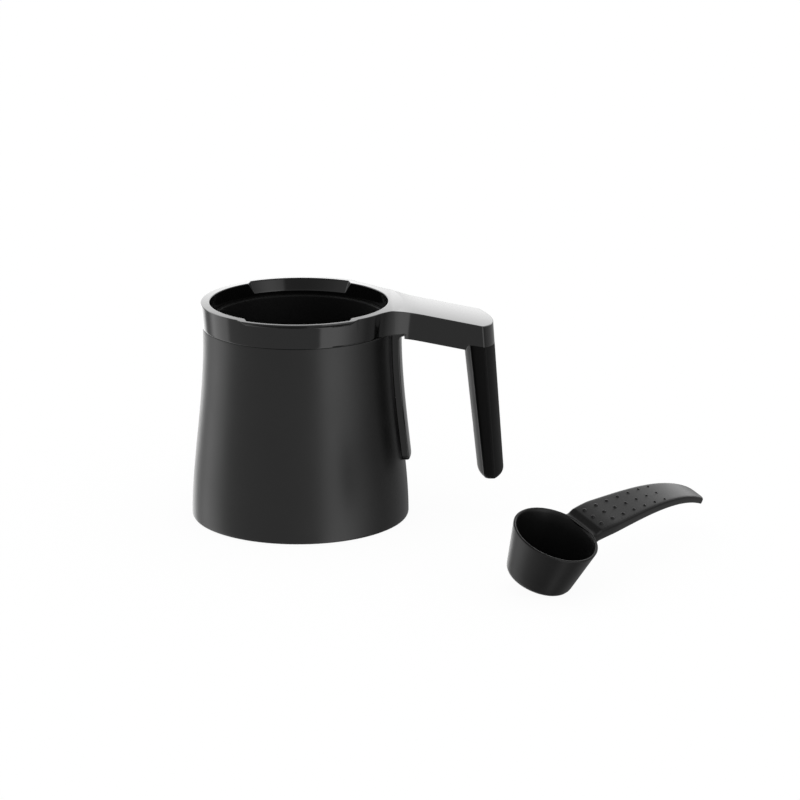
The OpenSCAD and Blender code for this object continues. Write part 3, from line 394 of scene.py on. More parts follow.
def make_handle_frame():
    """Collar, lips and arm. Rows run along the columns, from the rim's inner edge down the wall."""
    columns, last_ring, flat_from, split = collar_columns()
    e, h = EDGE, HOLD
    turns = [*ROUND_STEPS, math.pi / 2]
    outer, inner, foot = [], [], []
    for k, column in enumerate(columns):
        arm = k >= split
        rows = [edge_point(column, arm_top_z, RIM_Z, e + h), edge_point(column, arm_top_z, RIM_Z, e)]
        rim = edge_point(column, arm_top_z, RIM_Z)
        way = outline(column, rim[2])[1]
        for a in ROUND_STEPS:
            rows.append(rim - e * (1 - math.sin(a)) * way - [0, 0, e * (1 - math.cos(a))])
        if arm:
            low = edge_point(column, arm_under_z, SEAM_Z)
            start_low = edge_point(columns[split], arm_under_z, SEAM_Z)[2]
            start_top = edge_point(columns[split], arm_top_z, RIM_Z)[2]
            middle = rim[2] - (rim[2] - low[2]) * (start_top - SEAM_Z) / (start_top - start_low)
        else:
            middle = SEAM_Z
        fade = 1.0 if k <= last_ring else max(0.0, 1 - (k - last_ring) / (split - last_ring)) ** 0.5
        low_e = 0.0 if arm else e * fade
        high, foot_z = rim[2] - e, middle + low_e
        for w in (0.0, 0.02, 0.09, 0.17, 0.235, 0.3, 0.5, 0.75, 0.95, 1.0):
            rows.append(outline(column, high + (foot_z - high) * w)[0])
        if not arm or k == split:
            base, way_b = outline(column, middle)
            foot.append(rows + [base + rounding(low_e, a, way_b) for a in turns])
        if arm:
            under_rows = list(rows)
            for w in (0.35, 0.7, 1.0):
                under_rows.append(outline(column, middle + (low[2] + e - middle) * w)[0])
            base, way_b = outline(column, low[2])
            if k == split:
                way_b = np.array([0.0, 1.0, 0.0])
            under_rows += [base + rounding(e, a, way_b) for a in ROUND_STEPS]
            if k == split:
                under_rows += [low - inset * way_b for inset in (e, e + h)]
            else:
                under_rows += [edge_point(column, arm_under_z, SEAM_Z, inset) for inset in (e, e + h)]
            outer.append(under_rows)
        if column[0] == "ring" or k == last_ring:
            a = math.atan2(rim[1], rim[0])
            off = abs(math.degrees(a) - 90)
            at = lambda line: [np.array([r * math.cos(a), r * math.sin(a), z]) for r, z in line]
            inner.append(at(mouth_line(off)))
            flare, share = flare_line(off)
            for i, q in enumerate(at(flare)):
                foot[-1][i] = foot[-1][i] + (q - foot[-1][i]) * share
    foot, outer, inner = np.array(foot), np.array(outer), np.array(inner)
    shape = Shape()
    shape.mirrored(foot.transpose(1, 0, 2))
    shape.mirrored(outer.transpose(1, 0, 2))
    ring_top = np.concatenate([inner, foot[:last_ring + 1, :1]], axis=1)
    shape.mirrored(ring_top.transpose(1, 0, 2))
    spigot_line = [(SPIGOT_R, SEAM_Z), (SPIGOT_R, SPIGOT_Z), (LEDGE_R, SPIGOT_Z), (LEDGE_R, GASKET_Z)]
    spigot = []
    for k in range(last_ring + 1):
        a = math.atan2(inner[k, 0, 1], inner[k, 0, 0])
        spigot.append([foot[k, -1]] + [(r * math.cos(a), r * math.sin(a), z) for r, z in spigot_line])
    shape.mirrored(np.array(spigot).transpose(1, 0, 2))
    # between the arm's two fillets
    edge = math.atan2(inner[-1][0][1], inner[-1][0][0])
    across = np.linspace(1, -1, 49)
    arc = lambda r, z: [(r * math.cos(edge * s), r * math.sin(edge * s), z) for s in across]
    section = [(math.hypot(p[0], p[1]), p[2]) for p in inner[-1]]
    shape.grid([arc(r, z) for r, z in section])
    shape.grid([arc(r, z) for r, z in spigot_line])
    tops = [foot[k, 0] for k in range(last_ring, split)] + [column[0] for column in outer]
    first = flat_from - last_ring
    bar = lambda p: [(p[0], p[1] * s, p[2]) for s in across]
    mouth = arc(*section[-1])
    shape.cap(mouth[::-1] + [tuple(p) for p in tops[:first]] + bar(tops[first])
              + [tuple(p * MIRROR) for p in reversed(tops[:first])])
    shape.grid([bar(p) for p in tops[first:]])
    low_edge = [foot[k, -1] for k in range(last_ring, split + 1)]
    shape.cap(arc(SPIGOT_R, SEAM_Z)[::-1] + [tuple(p) for p in low_edge[:-1]] + bar(low_edge[-1])
              + [tuple(p * MIRROR) for p in reversed(low_edge[:-1])])
    wall_rows = outer[0][len(outer[0]) - 8:]
    shape.grid([bar(p) for p in wall_rows])
    shape.grid([bar(column[-1]) for column in outer])
    return shape


def make_tongue():
    """The tongue that follows the shell below the arm."""
    flare_r, foot_r = 1.7, 1.8
    low = np.array([0, 0.1, 0.3, 0.6, 0.95, 1.35, 1.8, 2.3, 2.9, 3.5, 4.2])
    flare_z = 71.9
    heights = list(TONGUE_FOOT_Z + low) + list(np.linspace(29, 71.5, 24))
    heights += list(flare_z + flare_r * np.array([0.0, 0.3, 0.55, 0.75, 0.9, 1.0])) + [75.0, 76.6]
    loops = []
    for z in heights:
        up = z - TONGUE_FOOT_Z
        half, t, flare = TONGUE_HALF, TONGUE_T, 0.0
        if up < TONGUE_CORNER:
            half -= TONGUE_CORNER - math.sqrt(TONGUE_CORNER ** 2 - (TONGUE_CORNER - up) ** 2)
        if up < foot_r:
            t -= foot_r - math.sqrt(foot_r ** 2 - (foot_r - up) ** 2)
        if z > flare_z:
            flare = flare_r - math.sqrt(max(flare_r ** 2 - min(z - flare_z, flare_r) ** 2, 0))
        r = shell_r(min(z, SEAM_Z))
        r_in, r_out = r + SEAM, r + t + flare
        edge = min(0.5, (r_out - r_in) / 3)
        x_in, x_mid = math.sqrt(r_in ** 2 - half ** 2), math.sqrt(r_out ** 2 - (half - edge) ** 2) - edge
        side = [((x_in + x_mid) / 2, half), (x_mid, half)]
        corner = [(x_mid + edge * math.sin(a), half - edge + edge * math.cos(a)) for a in ROUND_STEPS]
        front = [(math.sqrt(r_out ** 2 - y * y), y) for y in np.linspace(half - edge, edge - half, 19)]
        back = [(math.sqrt(r_in ** 2 - y * y), y) for y in np.linspace(-half, half, 17)]
        loop = side + corner + front + [(x, -y) for x, y in reversed(side + corner)] + back
        loops.append([(x, y, z) for x, y in loop])
    return capped(loops).piece("tongue")


def cover_recess():
    """Room in the arm's underside for the screwed cover."""
    c, s = math.cos(ARM_SLOPE), math.sin(ARM_SLOPE)
    on_arm = lambda along, down, y: (ARM_START + along * c - down * s, y, RIM_Z - along * s - down * c)
    corners = [(COVER_FROM, -COVER_HALF), (COVER_TO, -COVER_HALF),
               (COVER_TO, COVER_HALF), (COVER_FROM, COVER_HALF)]
    loops = [[on_arm(along, down, y) for along, y in corners] for down in (ARM_T - COVER_DEPTH, ARM_T + 3)]
    return capped(loops).piece("cover_recess")


# ------------------------------------------------------------------------ grip
def grip_section(z, inset=0.0):
    """Lens-shaped section: convex inner face, flat sides, rounder outer face. inset shrinks it."""
    edge_y, edge_out, inset_x = 2.4, 0.5, inset * 0.55
    share = (z - GRIP_FOOT_Z) / (GRIP_REF_Z - GRIP_FOOT_Z)
    half = GRIP_FOOT_HALF + (ARM_HALF - GRIP_FOOT_HALF) * share - inset
    y_in = half - edge_y
    x_in = in_face(y_in, z) + inset_x
    x_out, x_edge = out_face(half, z) - inset_x - edge_out, out_face(half - edge_out, z) - inset_x
    edge_x = min(3.6, 0.7 * (x_out - x_in))
    x_side = x_in + edge_x
    part = [(x_in + edge_x * (1 - math.cos(a)), y_in + edge_y * math.sin(a))
            for a in np.linspace(0, math.pi / 2, 10)[1:]]
    part += [(x_side + (x_out - x_side) * f, half) for f in (0.3, 0.65, 1.0)]
    part += [(x_out + (x_edge - x_out) * math.sin(a), half - edge_out * (1 - math.cos(a)))
             for a in (0.3, 0.6, 0.9, 1.2)]
    inner = [(in_face(y, z) + inset_x, y) for y in np.linspace(-y_in, y_in, 25)]
    outer = [(out_face(y, z) - inset_x, y) for y in np.linspace(half - edge_out, edge_out - half, 37)]
    return np.array(inner + part + outer + [(x, -y) for x, y in reversed(part)])


def make_grip():
    foot_r, neck_z = 2.2, 60.0
    loops = []
    for a in np.linspace(math.pi / 2, 0, 9):
        z, inset = GRIP_FOOT_Z + foot_r * (1 - math.sin(a)), foot_r * (1 - math.cos(a))
        loops.insert(0, [(x, y, z) for x, y in grip_section(z, inset)])
    loops.sort(key=lambda loop: loop[0][2])
    heights = np.linspace(GRIP_FOOT_Z + foot_r, neck_z, 26)[1:]
    loops += [[(x, y, z) for x, y in grip_section(z)] for z in heights]
    top = []
    for k in range(len(loops[0])):
        z = 68.0
        for _ in range(7):
            z = arm_under_z(grip_section(z)[k][0]) - 0.02
        top.append(z)
    for f in np.linspace(0, 1, 8)[1:]:
        heights = [neck_z + (z - neck_z) * f for z in top]
        loops.append([(*grip_section(z)[k], z) for k, z in enumerate(heights)])
    shape = Shape()
    shape.grid(loops, wrap_cols=True)
    shape.fan(loops[0])
    shape.cap(loops[-1])
    return carve(shape.piece("grip_upright"), ("DIFFERENCE", screw_bore()), crease=40)


def screw_bore():
    """Bore for the screw's head, from the grip's inner face."""
    lean, middle = (IN_LEAN + OUT_LEAN) / 2, (in_face(0, SCREW_Z) + out_face(0, SCREW_Z)) / 2
    way = np.array([math.cos(lean), 0.0, math.sin(lean)])
    up = np.array([-math.sin(lean), 0.0, math.cos(lean)])
    ring = [SCREW_HEAD_R * (math.cos(a) * up + math.sin(a) * np.array([0.0, 1.0, 0.0]))
            for a in np.linspace(0, 2 * math.pi, 48, endpoint=False)]
    loops = [[np.array([middle, 0, SCREW_Z]) - way * d + q for q in ring] for d in (SCREW_DEEP, 20.0)]
    return capped(loops).piece("screw_bore")


# -------------------------------------------------------------- inner vessel
def make_vessel():
    """Coated vessel with a narrow flange on top and a round corner at its foot."""
    r, wall, foot, c, top = 32.4, 0.8, 21.2, 6.0, 79.6
    flange_r = r + wall + 1.1
    inner = rounded([(0.0, foot + wall, 0), (r, foot + wall, c),
                     (r, top, 0.5), (flange_r, top, 0)], False, 10)
    outer = rounded([(flange_r, top - wall, 0), (r + wall, top - wall, 0.2),
                     (r + wall, foot, c + wall), (0.0, foot, 0)], False, 10)
    shape = Shape()
    shape.grid(turned(list(inner) + list(outer), 160), wrap_cols=True)
    return shape.piece("vessel_inside")


# --------------------------------------------------------------------- scoop
SCOOP_X, SCOOP_Y, SCOOP_TURN, SCOOP_ROLL = 87.8, -92.4, math.radians(49), math.radians(23.6)
BOWL_MOUTH_R, BOWL_FOOT_R, BOWL_H, SCOOP_WALL = 16.3, 12.5, 19.1, 1.2
SCOOP_REACH, HANDLE_ROOT, HANDLE_FREE, WIDE_AT, FLAT_TO = 95.5, 14.8, 16.2, 28.0, 35.0
HANDLE_RISE, ROOT_SUNK, ROOT_BLEND, TIP_DROP = 1.9, 0.08, 3.4, 11.0
ROOT_FROM = HANDLE_FREE - 0.6
FOOT_EDGE = [(11.7, 0.0), (12.25, 0.2), (12.6, 0.8)]
DOT_FIRST, DOT_PITCH, DOT_ROW_PITCH, DOT_COLUMNS = 21.6, 6.8, 4.2, 7
DOT_R, DOT_LAST_SHARE, DOT_SUNK = 1.0, 0.614, 0.45
SCOOP_LIFT = max(r * math.sin(SCOOP_ROLL) - z * math.cos(SCOOP_ROLL) for r, z in FOOT_EDGE)
FLARE = (BOWL_MOUTH_R - BOWL_FOOT_R) / BOWL_H


def scoop_place(points):
    """Points given about the bowl's axis, rolled and turned to where the scoop lies."""
    p = np.asarray(points, float)
    flat = p.reshape(-1, 3)
    c, s = math.cos(SCOOP_ROLL), math.sin(SCOOP_ROLL)
    y, z = flat[:, 1] * c - flat[:, 2] * s, flat[:, 1] * s + flat[:, 2] * c
    c, s = math.cos(SCOOP_TURN), math.sin(SCOOP_TURN)
    out = np.stack([SCOOP_X + flat[:, 0] * c - y * s, SCOOP_Y + flat[:, 0] * s + y * c, SCOOP_LIFT + z], 1)
    return out.reshape(p.shape)


def handle_top(s):
    """Height of the handle's top, which rises from the bowl's rim and bows down to the tip."""
    climb = math.sin(math.pi / 2 * min((s - HANDLE_ROOT + 4) / (WIDE_AT - HANDLE_ROOT + 4), 1.0))
    share = min(max((s - ROOT_FROM) / ROOT_BLEND, 0.0), 1.0)
    share = share * share * (3 - 2 * share)
    fall = TIP_DROP * max((s - FLAT_TO) / (SCOOP_REACH - FLAT_TO), 0.0) ** 2.8
    return BOWL_H - ROOT_SUNK + (HANDLE_RISE * climb + ROOT_SUNK) * share - fall


def handle_half(s):
    """Half width of the scoop's handle, which narrows from WIDE_AT both ways."""
    if s < WIDE_AT:
        return 7.8 - 0.5 * ((WIDE_AT - s) / (WIDE_AT - HANDLE_ROOT)) ** 2
    return 7.8 - 3.6 * (s - WIDE_AT) / (SCOOP_REACH - WIDE_AT)


def handle_skirt(s):
    """Depth of the handle's sides."""
    return 4.9 - 2.2 * (s - HANDLE_ROOT) / (SCOOP_REACH - HANDLE_ROOT)


def handle_channel():
    """Hollow under the handle, which ends before the tip."""
    rows = []
    for s in np.linspace(HANDLE_ROOT - 3.0, SCOOP_REACH - 1.3, 50):
        at = max(s, HANDLE_FREE)
        w, high = handle_half(at) - SCOOP_WALL, handle_top(at) - SCOOP_WALL
        low = handle_top(at) - handle_skirt(at) - 2.0
        flat = rounded([(-w, low, 0), (-w, high, 0.5), (w, high, 0.5), (w, low, 0)], True, 4)
        rows.append([(s, y, z) for y, z in flat])
    return capped(scoop_place(rows)).piece("handle_channel")


def handle_section(s):
    """Outline (y, z) of the handle, with points across its top so that it bows evenly."""
    w, top = handle_half(s), handle_top(s)
    skirt = handle_skirt(s)
    line = rounded([(-w, top - skirt, 0.3), (-w, top, 1.0), (w, top, 1.0), (w, top - skirt, 0.3)], True, 4)
    across = [(y, top) for y in np.linspace(1.0 - w, w - 1.0, 16)[1:-1]]
    return np.vstack([line[:10], across, line[10:]])


def make_scoop():
    """Bowl, hollow handle and grip dots in one piece."""
    line = [(0.0, 0.0)] + FOOT_EDGE
    line += [(BOWL_FOOT_R + FLARE * z, z) for z in (1.6, 5.0, 9.0, 13.0, 16.5, 18.1)]
    rim = [(0.08, 0.35), (0.25, 0.1), (0.6, 0.0), (0.95, 0.1), (1.14, 0.35)]
    line += [(BOWL_MOUTH_R - inwards, BOWL_H - down) for inwards, down in rim]
    inside = lambda z: BOWL_MOUTH_R - SCOOP_WALL - (BOWL_H - z) * (BOWL_MOUTH_R - BOWL_FOOT_R) / 16.2
    line += [(inside(z), z) for z in (17.8, 14.0, 10.0, 6.0, 4.0)]
    corner = rounded([(inside(4.0), 4.0, 0), (inside(1.4), 1.4, 1.8), (0.0, 1.4, 0)], False, 6)
    line += [tuple(p) for p in corner[1:]]
    bowl = Shape()
    bowl.grid(scoop_place(turned(line, 144)), wrap_cols=True)
    tip_r, dense_to = 2.4, 21.0
    stations = list(np.linspace(HANDLE_FREE, dense_to, 14))
    stations += list(np.linspace(dense_to, SCOOP_REACH - tip_r, 46)[1:])
    wall_middle = lambda y, z: math.sqrt((BOWL_FOOT_R - SCOOP_WALL / 2 + FLARE * z) ** 2 - y * y)
    root = [(wall_middle(y, z), y, z) for y, z in handle_section(ROOT_FROM)]
    rows = [root] + [[(s, y, z) for y, z in handle_section(s)] for s in stations]
    for a in np.linspace(0, math.pi / 2, 8)[1:]:
        s = SCOOP_REACH - tip_r * (1 - math.sin(a))
        squeeze = 1 - 1.7 * (1 - math.cos(a)) / handle_half(s)
        rows.append([(s, y * squeeze, z) for y, z in handle_section(s)])
    handle = carve(capped(scoop_place(rows)).piece("scoop_handle"), ("DIFFERENCE", handle_channel()))
    return carve(bowl.piece("scoop"), ("UNION", handle), ("UNION", grip_dots()), crease=42)


def grip_dots():
    """Rows of raised dots on the handle that get smaller towards its tip."""
    places = [DOT_FIRST + DOT_PITCH * k for k in range(DOT_COLUMNS)]
    mesh = bpy.data.meshes.new("grip_dots")
    mesh.from_pydata([(s * MM, 0, handle_top(s) * MM) for s in places], [], [])
    thing = placed("grip_dots", mesh)
    group = bpy.data.node_groups.new("rows_of_dots", "GeometryNodeTree")
    face = group.interface
    face.new_socket("Geometry", in_out="INPUT", socket_type="NodeSocketGeometry")
    sizes = {"Rows": 3, "Row pitch": DOT_ROW_PITCH * MM, "First": DOT_FIRST * MM, "Last": places[-1] * MM,
             "Radius": DOT_R * MM, "Last share": DOT_LAST_SHARE, "Sunk share": DOT_SUNK}
    keys = {}
    for name, value in sizes.items():
        kind = "NodeSocketInt" if isinstance(value, int) else "NodeSocketFloat"
        keys[face.new_socket(name, in_out="INPUT", socket_type=kind).identifier] = value
    face.new_socket("Geometry", in_out="OUTPUT", socket_type="NodeSocketGeometry")

    def node(kind, settings=None, **inputs):
        made = group.nodes.new(kind)
        for key, value in (settings or {}).items():
            setattr(made, key, value)
        for key, value in inputs.items():
            socket = made.inputs[int(key[1:]) if key[1:].isdigit() else key.replace("_", " ")]
            if isinstance(value, bpy.types.NodeSocket):
                group.links.new(value, socket)
            else:
                socket.default_value = value
        return made.outputs

    given = node("NodeGroupInput")
    times = lambda a, b: node("ShaderNodeMath", {"operation": "MULTIPLY"}, i0=a, i1=b)[0]
    minus = lambda a, b: node("ShaderNodeMath", {"operation": "SUBTRACT"}, i0=a, i1=b)[0]
    half = times(times(minus(given["Rows"], 1.0), given["Row pitch"]), -0.5)
    line = node("GeometryNodeMeshLine", None, Count=given["Rows"],
                Start_Location=node("ShaderNodeCombineXYZ", None, Y=half)[0],
                Offset=node("ShaderNodeCombineXYZ", None, Y=given["Row pitch"])[0])[0]
    rows = node("GeometryNodeInstanceOnPoints", None, Points=given["Geometry"], Instance=line)[0]
    rows = node("GeometryNodeRealizeInstances", None, Geometry=rows)[0]
    along = node("ShaderNodeSeparateXYZ", None, Vector=node("GeometryNodeInputPosition")[0])[0]
    size = node("ShaderNodeMapRange", None, Value=along, From_Min=given["First"], From_Max=given["Last"],
                To_Min=1.0, To_Max=given["Last share"])[0]
    ball = node("GeometryNodeMeshUVSphere", None, Segments=20, Rings=10, Radius=given["Radius"])[0]
    sink = times(times(times(size, given["Radius"]), given["Sunk share"]), -1.0)
    rows = node("GeometryNodeSetPosition", None, Geometry=rows,
                Offset=node("ShaderNodeCombineXYZ", None, Z=sink)[0])[0]
    dots = node("GeometryNodeInstanceOnPoints", None, Points=rows, Instance=ball, Scale=size)[0]
    dots = node("GeometryNodeRealizeInstances", None, Geometry=dots)[0]
    dots = node("GeometryNodeSetMaterial", None, Geometry=dots, Material=scoop_black)[0]
    node("NodeGroupOutput", None, Geometry=dots)
    maker = thing.modifiers.new("rows_of_dots", "NODES")
    maker.node_group = group
    for key, value in keys.items():
        maker[key] = value
    thing.data = settled(thing)
    points = np.array([v.co for v in thing.data.vertices]) / MM
    thing.data.vertices.foreach_set("co", (scoop_place(points) * MM).ravel())
    return thing


# ------------------------------------------------------------------- materials
LOOKING_RAYS = ("Is Camera Ray", "Is Glossy Ray", "Is Transmission Ray")


class Value:
    """A number or colour that comes out of a shader node."""

    def __init__(self, paint, socket):
        self.paint, self.socket = paint, socket

    def _math(self, operation, *others):
        return self.paint.node("ShaderNodeMath", {"operation": operation}, self, *others)

    def __add__(self, other):
        return self._math("ADD", other)

    def __sub__(self, other):
        return self._math("SUBTRACT", other)

    def __mul__(self, other):
        return self._math("MULTIPLY", other)

    __radd__, __rmul__ = __add__, __mul__

    def __rsub__(self, other):
        return self.paint.node("ShaderNodeMath", {"operation": "SUBTRACT"}, other, self)

    def least(self, other):
        return self._math("MINIMUM", other)

    def most(self, other):
        return self._math("MAXIMUM", other)

    def between(self, low, high, to_low=0.0, to_high=1.0):
        """Fades from to_low to to_high as the value goes from low to high."""
        return self.paint.node("ShaderNodeMapRange", {"interpolation_type": "SMOOTHSTEP"},
                               self, low, high, to_low, to_high)


class Paint:
    """One material, or the world's, made node by node."""

    def __init__(self, name, owner=None):
        self.owner = owner or bpy.data.materials.new(name)
        self.owner.use_nodes = True
        self.tree = self.owner.node_tree
        self.tree.nodes.clear()

    def node(self, kind, settings=None, *inputs, out=0, **named):
        made = self.tree.nodes.new(kind)
        for key, value in (settings or {}).items():
            setattr(made, key, value)
        pairs = list(zip([s for s in made.inputs if s.enabled], inputs))
        pairs += [(made.inputs[key.replace("_", " ")], value) for key, value in named.items()]
        for socket, value in pairs:
            if isinstance(value, Value):
                self.tree.links.new(value.socket, socket)
            elif value is not None:
                socket.default_value = value
        outputs = [s for s in made.outputs if s.enabled]
        return Value(self, outputs[out]) if outputs else None

    def split(self, vector):
        """X, Y and Z of a vector."""
        parts = self.node("ShaderNodeSeparateXYZ", None, vector).socket.node.outputs
        return [Value(self, part) for part in parts]

    def seen(self):
        """1 for the rays of the camera, of gloss and through glass, and 0 for the light on the object."""
        rays = self.node("ShaderNodeLightPath").socket.node.outputs
        camera, glossy, through = (Value(self, rays[k]) for k in LOOKING_RAYS)
        return camera, camera.most(glossy).most(through)

    def place(self):
        return self.node("ShaderNodeTexCoord", out=3)

    def noise(self, scale, detail=2.0, roughness=0.5, at=None):
        return self.node("ShaderNodeTexNoise", None, Vector=at or self.place(), Scale=scale, Detail=detail,
                         Roughness=roughness)

    def mix(self, factor, a, b):
        made = self.tree.nodes.new("ShaderNodeMix")
        made.data_type = "RGBA"
        for socket, value in zip([made.inputs[0], made.inputs[6], made.inputs[7]], (factor, a, b)):
            if isinstance(value, Value):
                self.tree.links.new(value.socket, socket)
            else:
                socket.default_value = value
        return Value(self, made.outputs[2])

    def bump(self, height, strength, distance):
        return self.node("ShaderNodeBump", None, Strength=strength, Distance=distance, Height=height)

    def surface(self, **values):
        shader = self.node("ShaderNodeBsdfPrincipled", None, **values)
        self.node("ShaderNodeOutputMaterial", None, Surface=shader)
        return self.owner


def grey(value, tint=(1, 1, 1)):
    """A tint made darker or lighter, as a colour with its alpha."""
    return tuple(value * t for t in tint) + (1.0,)


def plastic(name, dark, light, rough, grain, grain_scale, spread=0.03, ior=1.36, crown=None):
    """Moulded plastic. grain is its grain's height in millimetres, crown a function for a height to add."""
    p = Paint(name)
    at = p.place()
    cloud = p.noise(38.0, 3.0, 0.6, at)
    fine = p.noise(grain_scale, 2.0, 0.6, at) * grain
    colour = p.mix(cloud.between(0.3, 0.7), grey(dark), grey(light))
    roughness = cloud.between(0.25, 0.75, rough - spread, rough + spread)
    height = fine + crown(p, at) if crown else fine
    return p.surface(Base_Color=colour, Roughness=roughness, IOR=ior, Normal=p.bump(height, 1.0, MM))


def moulded_crown(p, at):
    """The rim falls off slightly outwards and the arm to both sides, as moulded top faces do."""
    x, y = (part * 1000 for part in p.split(at)[:2])
    radius = p.node("ShaderNodeMath", {"operation": "SQRT"}, x * x + y * y)
    ring = (radius - MOUTH_R).most(0.0).least(6.0) * -RIM_FALL
    arm = y * y * (-ARM_FALL / (2 * ARM_HALF))
    share = x.between(33.0, 47.0)
    return ring + (arm - ring) * share


def metal(name, colour, rough, brush=0.05, scale=900.0):
    p = Paint(name)
    at = p.place()
    cloud = p.noise(120.0, 3.0, 0.6, at)
    fine = p.noise(scale, 2.0, 0.6, at)
    tone = p.mix(cloud.between(0.3, 0.7), grey(0.9, colour), grey(1.06, colour))
    roughness = cloud.between(0.2, 0.8, rough - brush, rough + brush)
    return p.surface(Base_Color=tone, Metallic=1.0, Roughness=roughness, Normal=p.bump(fine, 0.08, 0.0001))


def soft_rubber(name, colour):
    p = Paint(name)
    fine = p.noise(1500.0, 2.0)
    cloud = p.noise(200.0, 2.0)
    tone = p.mix(cloud.between(0.3, 0.7), grey(0.85, colour), grey(1.0, colour))
    return p.surface(Base_Color=tone, Roughness=0.7, Normal=p.bump(fine, 0.1, 0.0001))


RIM_FALL, ARM_FALL = math.tan(math.radians(4.0)), math.tan(math.radians(2.0))
satin_black = plastic("satin_black_shell", 0.0028, 0.0036, 0.34, 0.002, 5200.0)
gloss_black = plastic("gloss_black_moulding", 0.0028, 0.0034, 0.10, 0.0004, 3000.0, spread=0.012,
                      crown=moulded_crown)
soft_black = plastic("soft_touch_grip", 0.0016, 0.0022, 0.5, 0.004, 5200.0, ior=1.15)
# The vessel's coating is black and is made darker still than the shell's plastic: painted shade for the deep
# inside of the pot and the ring under the rim.
coating_and_painted_shade = plastic("vessel_coating_with_painted_shade", 0.0016, 0.0024, 0.6, 0.004, 4200.0, spread=0.06, ior=1.2)
scoop_black = plastic("scoop_black", 0.0026, 0.0034, 0.36, 0.002, 5200.0, ior=1.26)
moulded_grey = plastic("moulded_grey", 0.02, 0.026, 0.5, 0.008, 3600.0, ior=1.5)
ceramic = plastic("white_ceramic", 0.55, 0.62, 0.35, 0.003, 2600.0, ior=1.5)
sleeve = plastic("woven_sleeve", 0.42, 0.55, 0.75, 0.02, 2400.0, ior=1.5)
steel = metal("bright_steel", (0.55, 0.55, 0.56), 0.28)
aluminium = metal("cast_aluminium", (0.62, 0.63, 0.64), 0.42)
brass = metal("spring_brass", (0.72, 0.52, 0.24), 0.3)
silicone = soft_rubber("red_silicone", (0.28, 0.05, 0.035))


def finished(thing, body, slot, material, *stands_for):
    thing.data.materials.clear()
    thing.data.materials.append(material)
    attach(thing, body)
    if stands_for:
        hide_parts(*stands_for)
    return thing


handle = carve(make_handle_frame().piece("collar_and_arm"),
               ("UNION", make_tongue()), ("DIFFERENCE", cover_recess()))
finished(make_shell(), "pot", "shell_satin", satin_black, "body_shell")
finished(handle, "pot", "handle_gloss", gloss_black, "handle_frame")
finished(make_grip(), "pot", "handle_gloss", soft_black, "grip")
finished(make_vessel(), "pot", "vessel_coating", coating_and_painted_shade, "inner_vessel")
finished(make_scoop(), "measuring_scoop", "scoop_satin", scoop_black, "measuring_scoop")


def springy(node, name):
    """A welded copy of a leaf or disc, with its material, in place of the imported one."""
    thing = NODES[node].copy()
    thing.data = NODES[node].data.copy()
    thing.name = thing.data.name = name
    bpy.context.scene.collection.objects.link(thing)
    welded(thing.data, TINY, 30.0, slivers=False)
    kind = slots[node]
    finished(thing, "pot", kind, KEPT[kind], node)
    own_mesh(thing)


KEPT = {"steel_plain": steel, "heater_aluminium": aluminium, "contact_brass": brass,
        "gasket_silicone": silicone, "base_moulding": moulded_grey, "ceramic_white": ceramic,
        "lead_sleeve": sleeve, "handle_gloss": gloss_black, "shell_satin": satin_black,
        "vessel_coating": coating_and_painted_shade, "scoop_satin": scoop_black}
slots = {row["node"]: row["material_slot"] for row in frame["record"]["subparts"]}
# copies of the contact leaves and bimetal discs on both sides
for side in ("left", "right"):
    springy(f"contact_leaf_{side}", f"spring_leaf_{side}")
    springy(f"bimetal_disc_{side}", f"snap_disc_{side}")
for name, thing in NODES.items():
    thing.data.materials.clear()
    thing.data.materials.append(KEPT.get(slots.get(name, ""), moulded_grey))


# ------------------------------------------------------------- studio and camera
PLAIN_LEVEL = 0.95


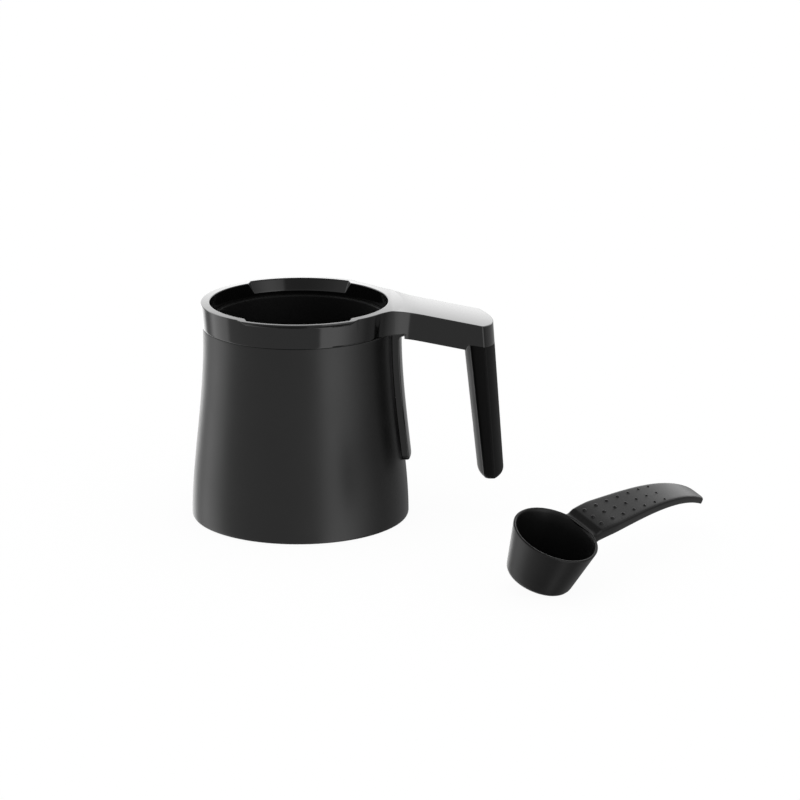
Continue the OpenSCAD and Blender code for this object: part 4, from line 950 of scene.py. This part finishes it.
def studio():
    """White backdrop with soft panels that only gloss sees. The light on the object is plain and even."""
    world = bpy.data.worlds.new("studio")
    bpy.context.scene.world = world
    p = Paint("studio", world)
    x, y, z = p.split(p.node("ShaderNodeTexCoord", out=0))
    # degrees to the right of the viewer's side, and 1 for directions well above the horizon
    turn = p.node("ShaderNodeMath", {"operation": "ARCTAN2"}, x, 0.0 - y) * 57.2958
    raised = z.between(0.0, 0.12)
    left = turn.between(-136, -120) * (1 - turn.between(-96, -89))
    right = turn.between(24, 28) * (1 - turn.between(42, 80))
    behind = 1 - turn.between(-151, -140)
    shade = (1 - turn.between(-130, -120)) * turn.between(-156, -146) * 0.5 + turn.between(74, 92) * 0.6
    level = 1 + left * 1.1 + right * 2.0 + (behind * 1.4 - shade) * (1 - raised)
    # the high panel behind, which the rim and the arm's top show
    above = raised * (turn.between(125, 150) + (1 - turn.between(-156, -144)))
    level = level * (1 - above) + above * z.between(0.12, 0.62, 2.85, 1.3)
    # a small panel high on the left
    across = turn.between(-168, -160) * (1 - turn.between(-122, -112))
    level = level + z.between(0.34, 0.44) * (1 - z.between(0.6, 0.7)) * across * 3.0
    # darker straight above and straight below
    level = level * z.between(0.72, 0.88, 1.0, 0.4) * z.between(-0.95, -0.75, 0.5, 1.0)
    camera, seen = p.seen()
    strength = seen * level.most(camera) + (1 - seen) * PLAIN_LEVEL
    shader = p.node("ShaderNodeBackground", None, Color=(1, 1, 1, 1), Strength=strength)
    p.node("ShaderNodeOutputWorld", None, Surface=shader)


def floor():
    """Pale floor that keeps the object's shadow. It lies a hair below the pot's foot."""
    size, z = 3.0, -0.0001
    mesh = bpy.data.meshes.new("floor")
    corners = [(-size, -size, z), (size, -size, z), (size, size, z), (-size, size, z)]
    mesh.from_pydata(corners, [], [(0, 1, 2, 3)])
    thing = placed("floor", mesh)
    p = Paint("pale_floor")
    seen = p.seen()[1]
    white = p.node("ShaderNodeEmission", None, Color=(1, 1, 1, 1), Strength=1.02)
    matt = p.node("ShaderNodeBsdfDiffuse", None, Color=(0.8, 0.8, 0.8, 1))
    mixed = p.node("ShaderNodeMixShader", None, seen * 0.93, matt, white)
    p.node("ShaderNodeOutputMaterial", None, Surface=mixed)
    mesh.materials.append(p.owner)
    thing.visible_glossy = False


def camera():
    lens = bpy.data.cameras.new("camera")
    lens.lens, lens.sensor_width = 137.76, 36.0
    thing = placed("camera", lens)
    down, turn, back = math.radians(15.846), math.radians(1.2), 1.1937
    aim = Vector((math.cos(down) * math.sin(turn), math.cos(down) * math.cos(turn), -math.sin(down)))
    side = Vector((math.cos(turn), -math.sin(turn), 0.0))
    target = side * 0.0391 + Vector((0.0, 0.0, 0.04562))
    thing.location = target - aim * back
    thing.rotation_euler = aim.to_track_quat("-Z", "Y").to_euler()
    bpy.context.scene.camera = thing


bpy.context.scene.view_settings.view_transform = "Standard"
studio()
floor()
camera()
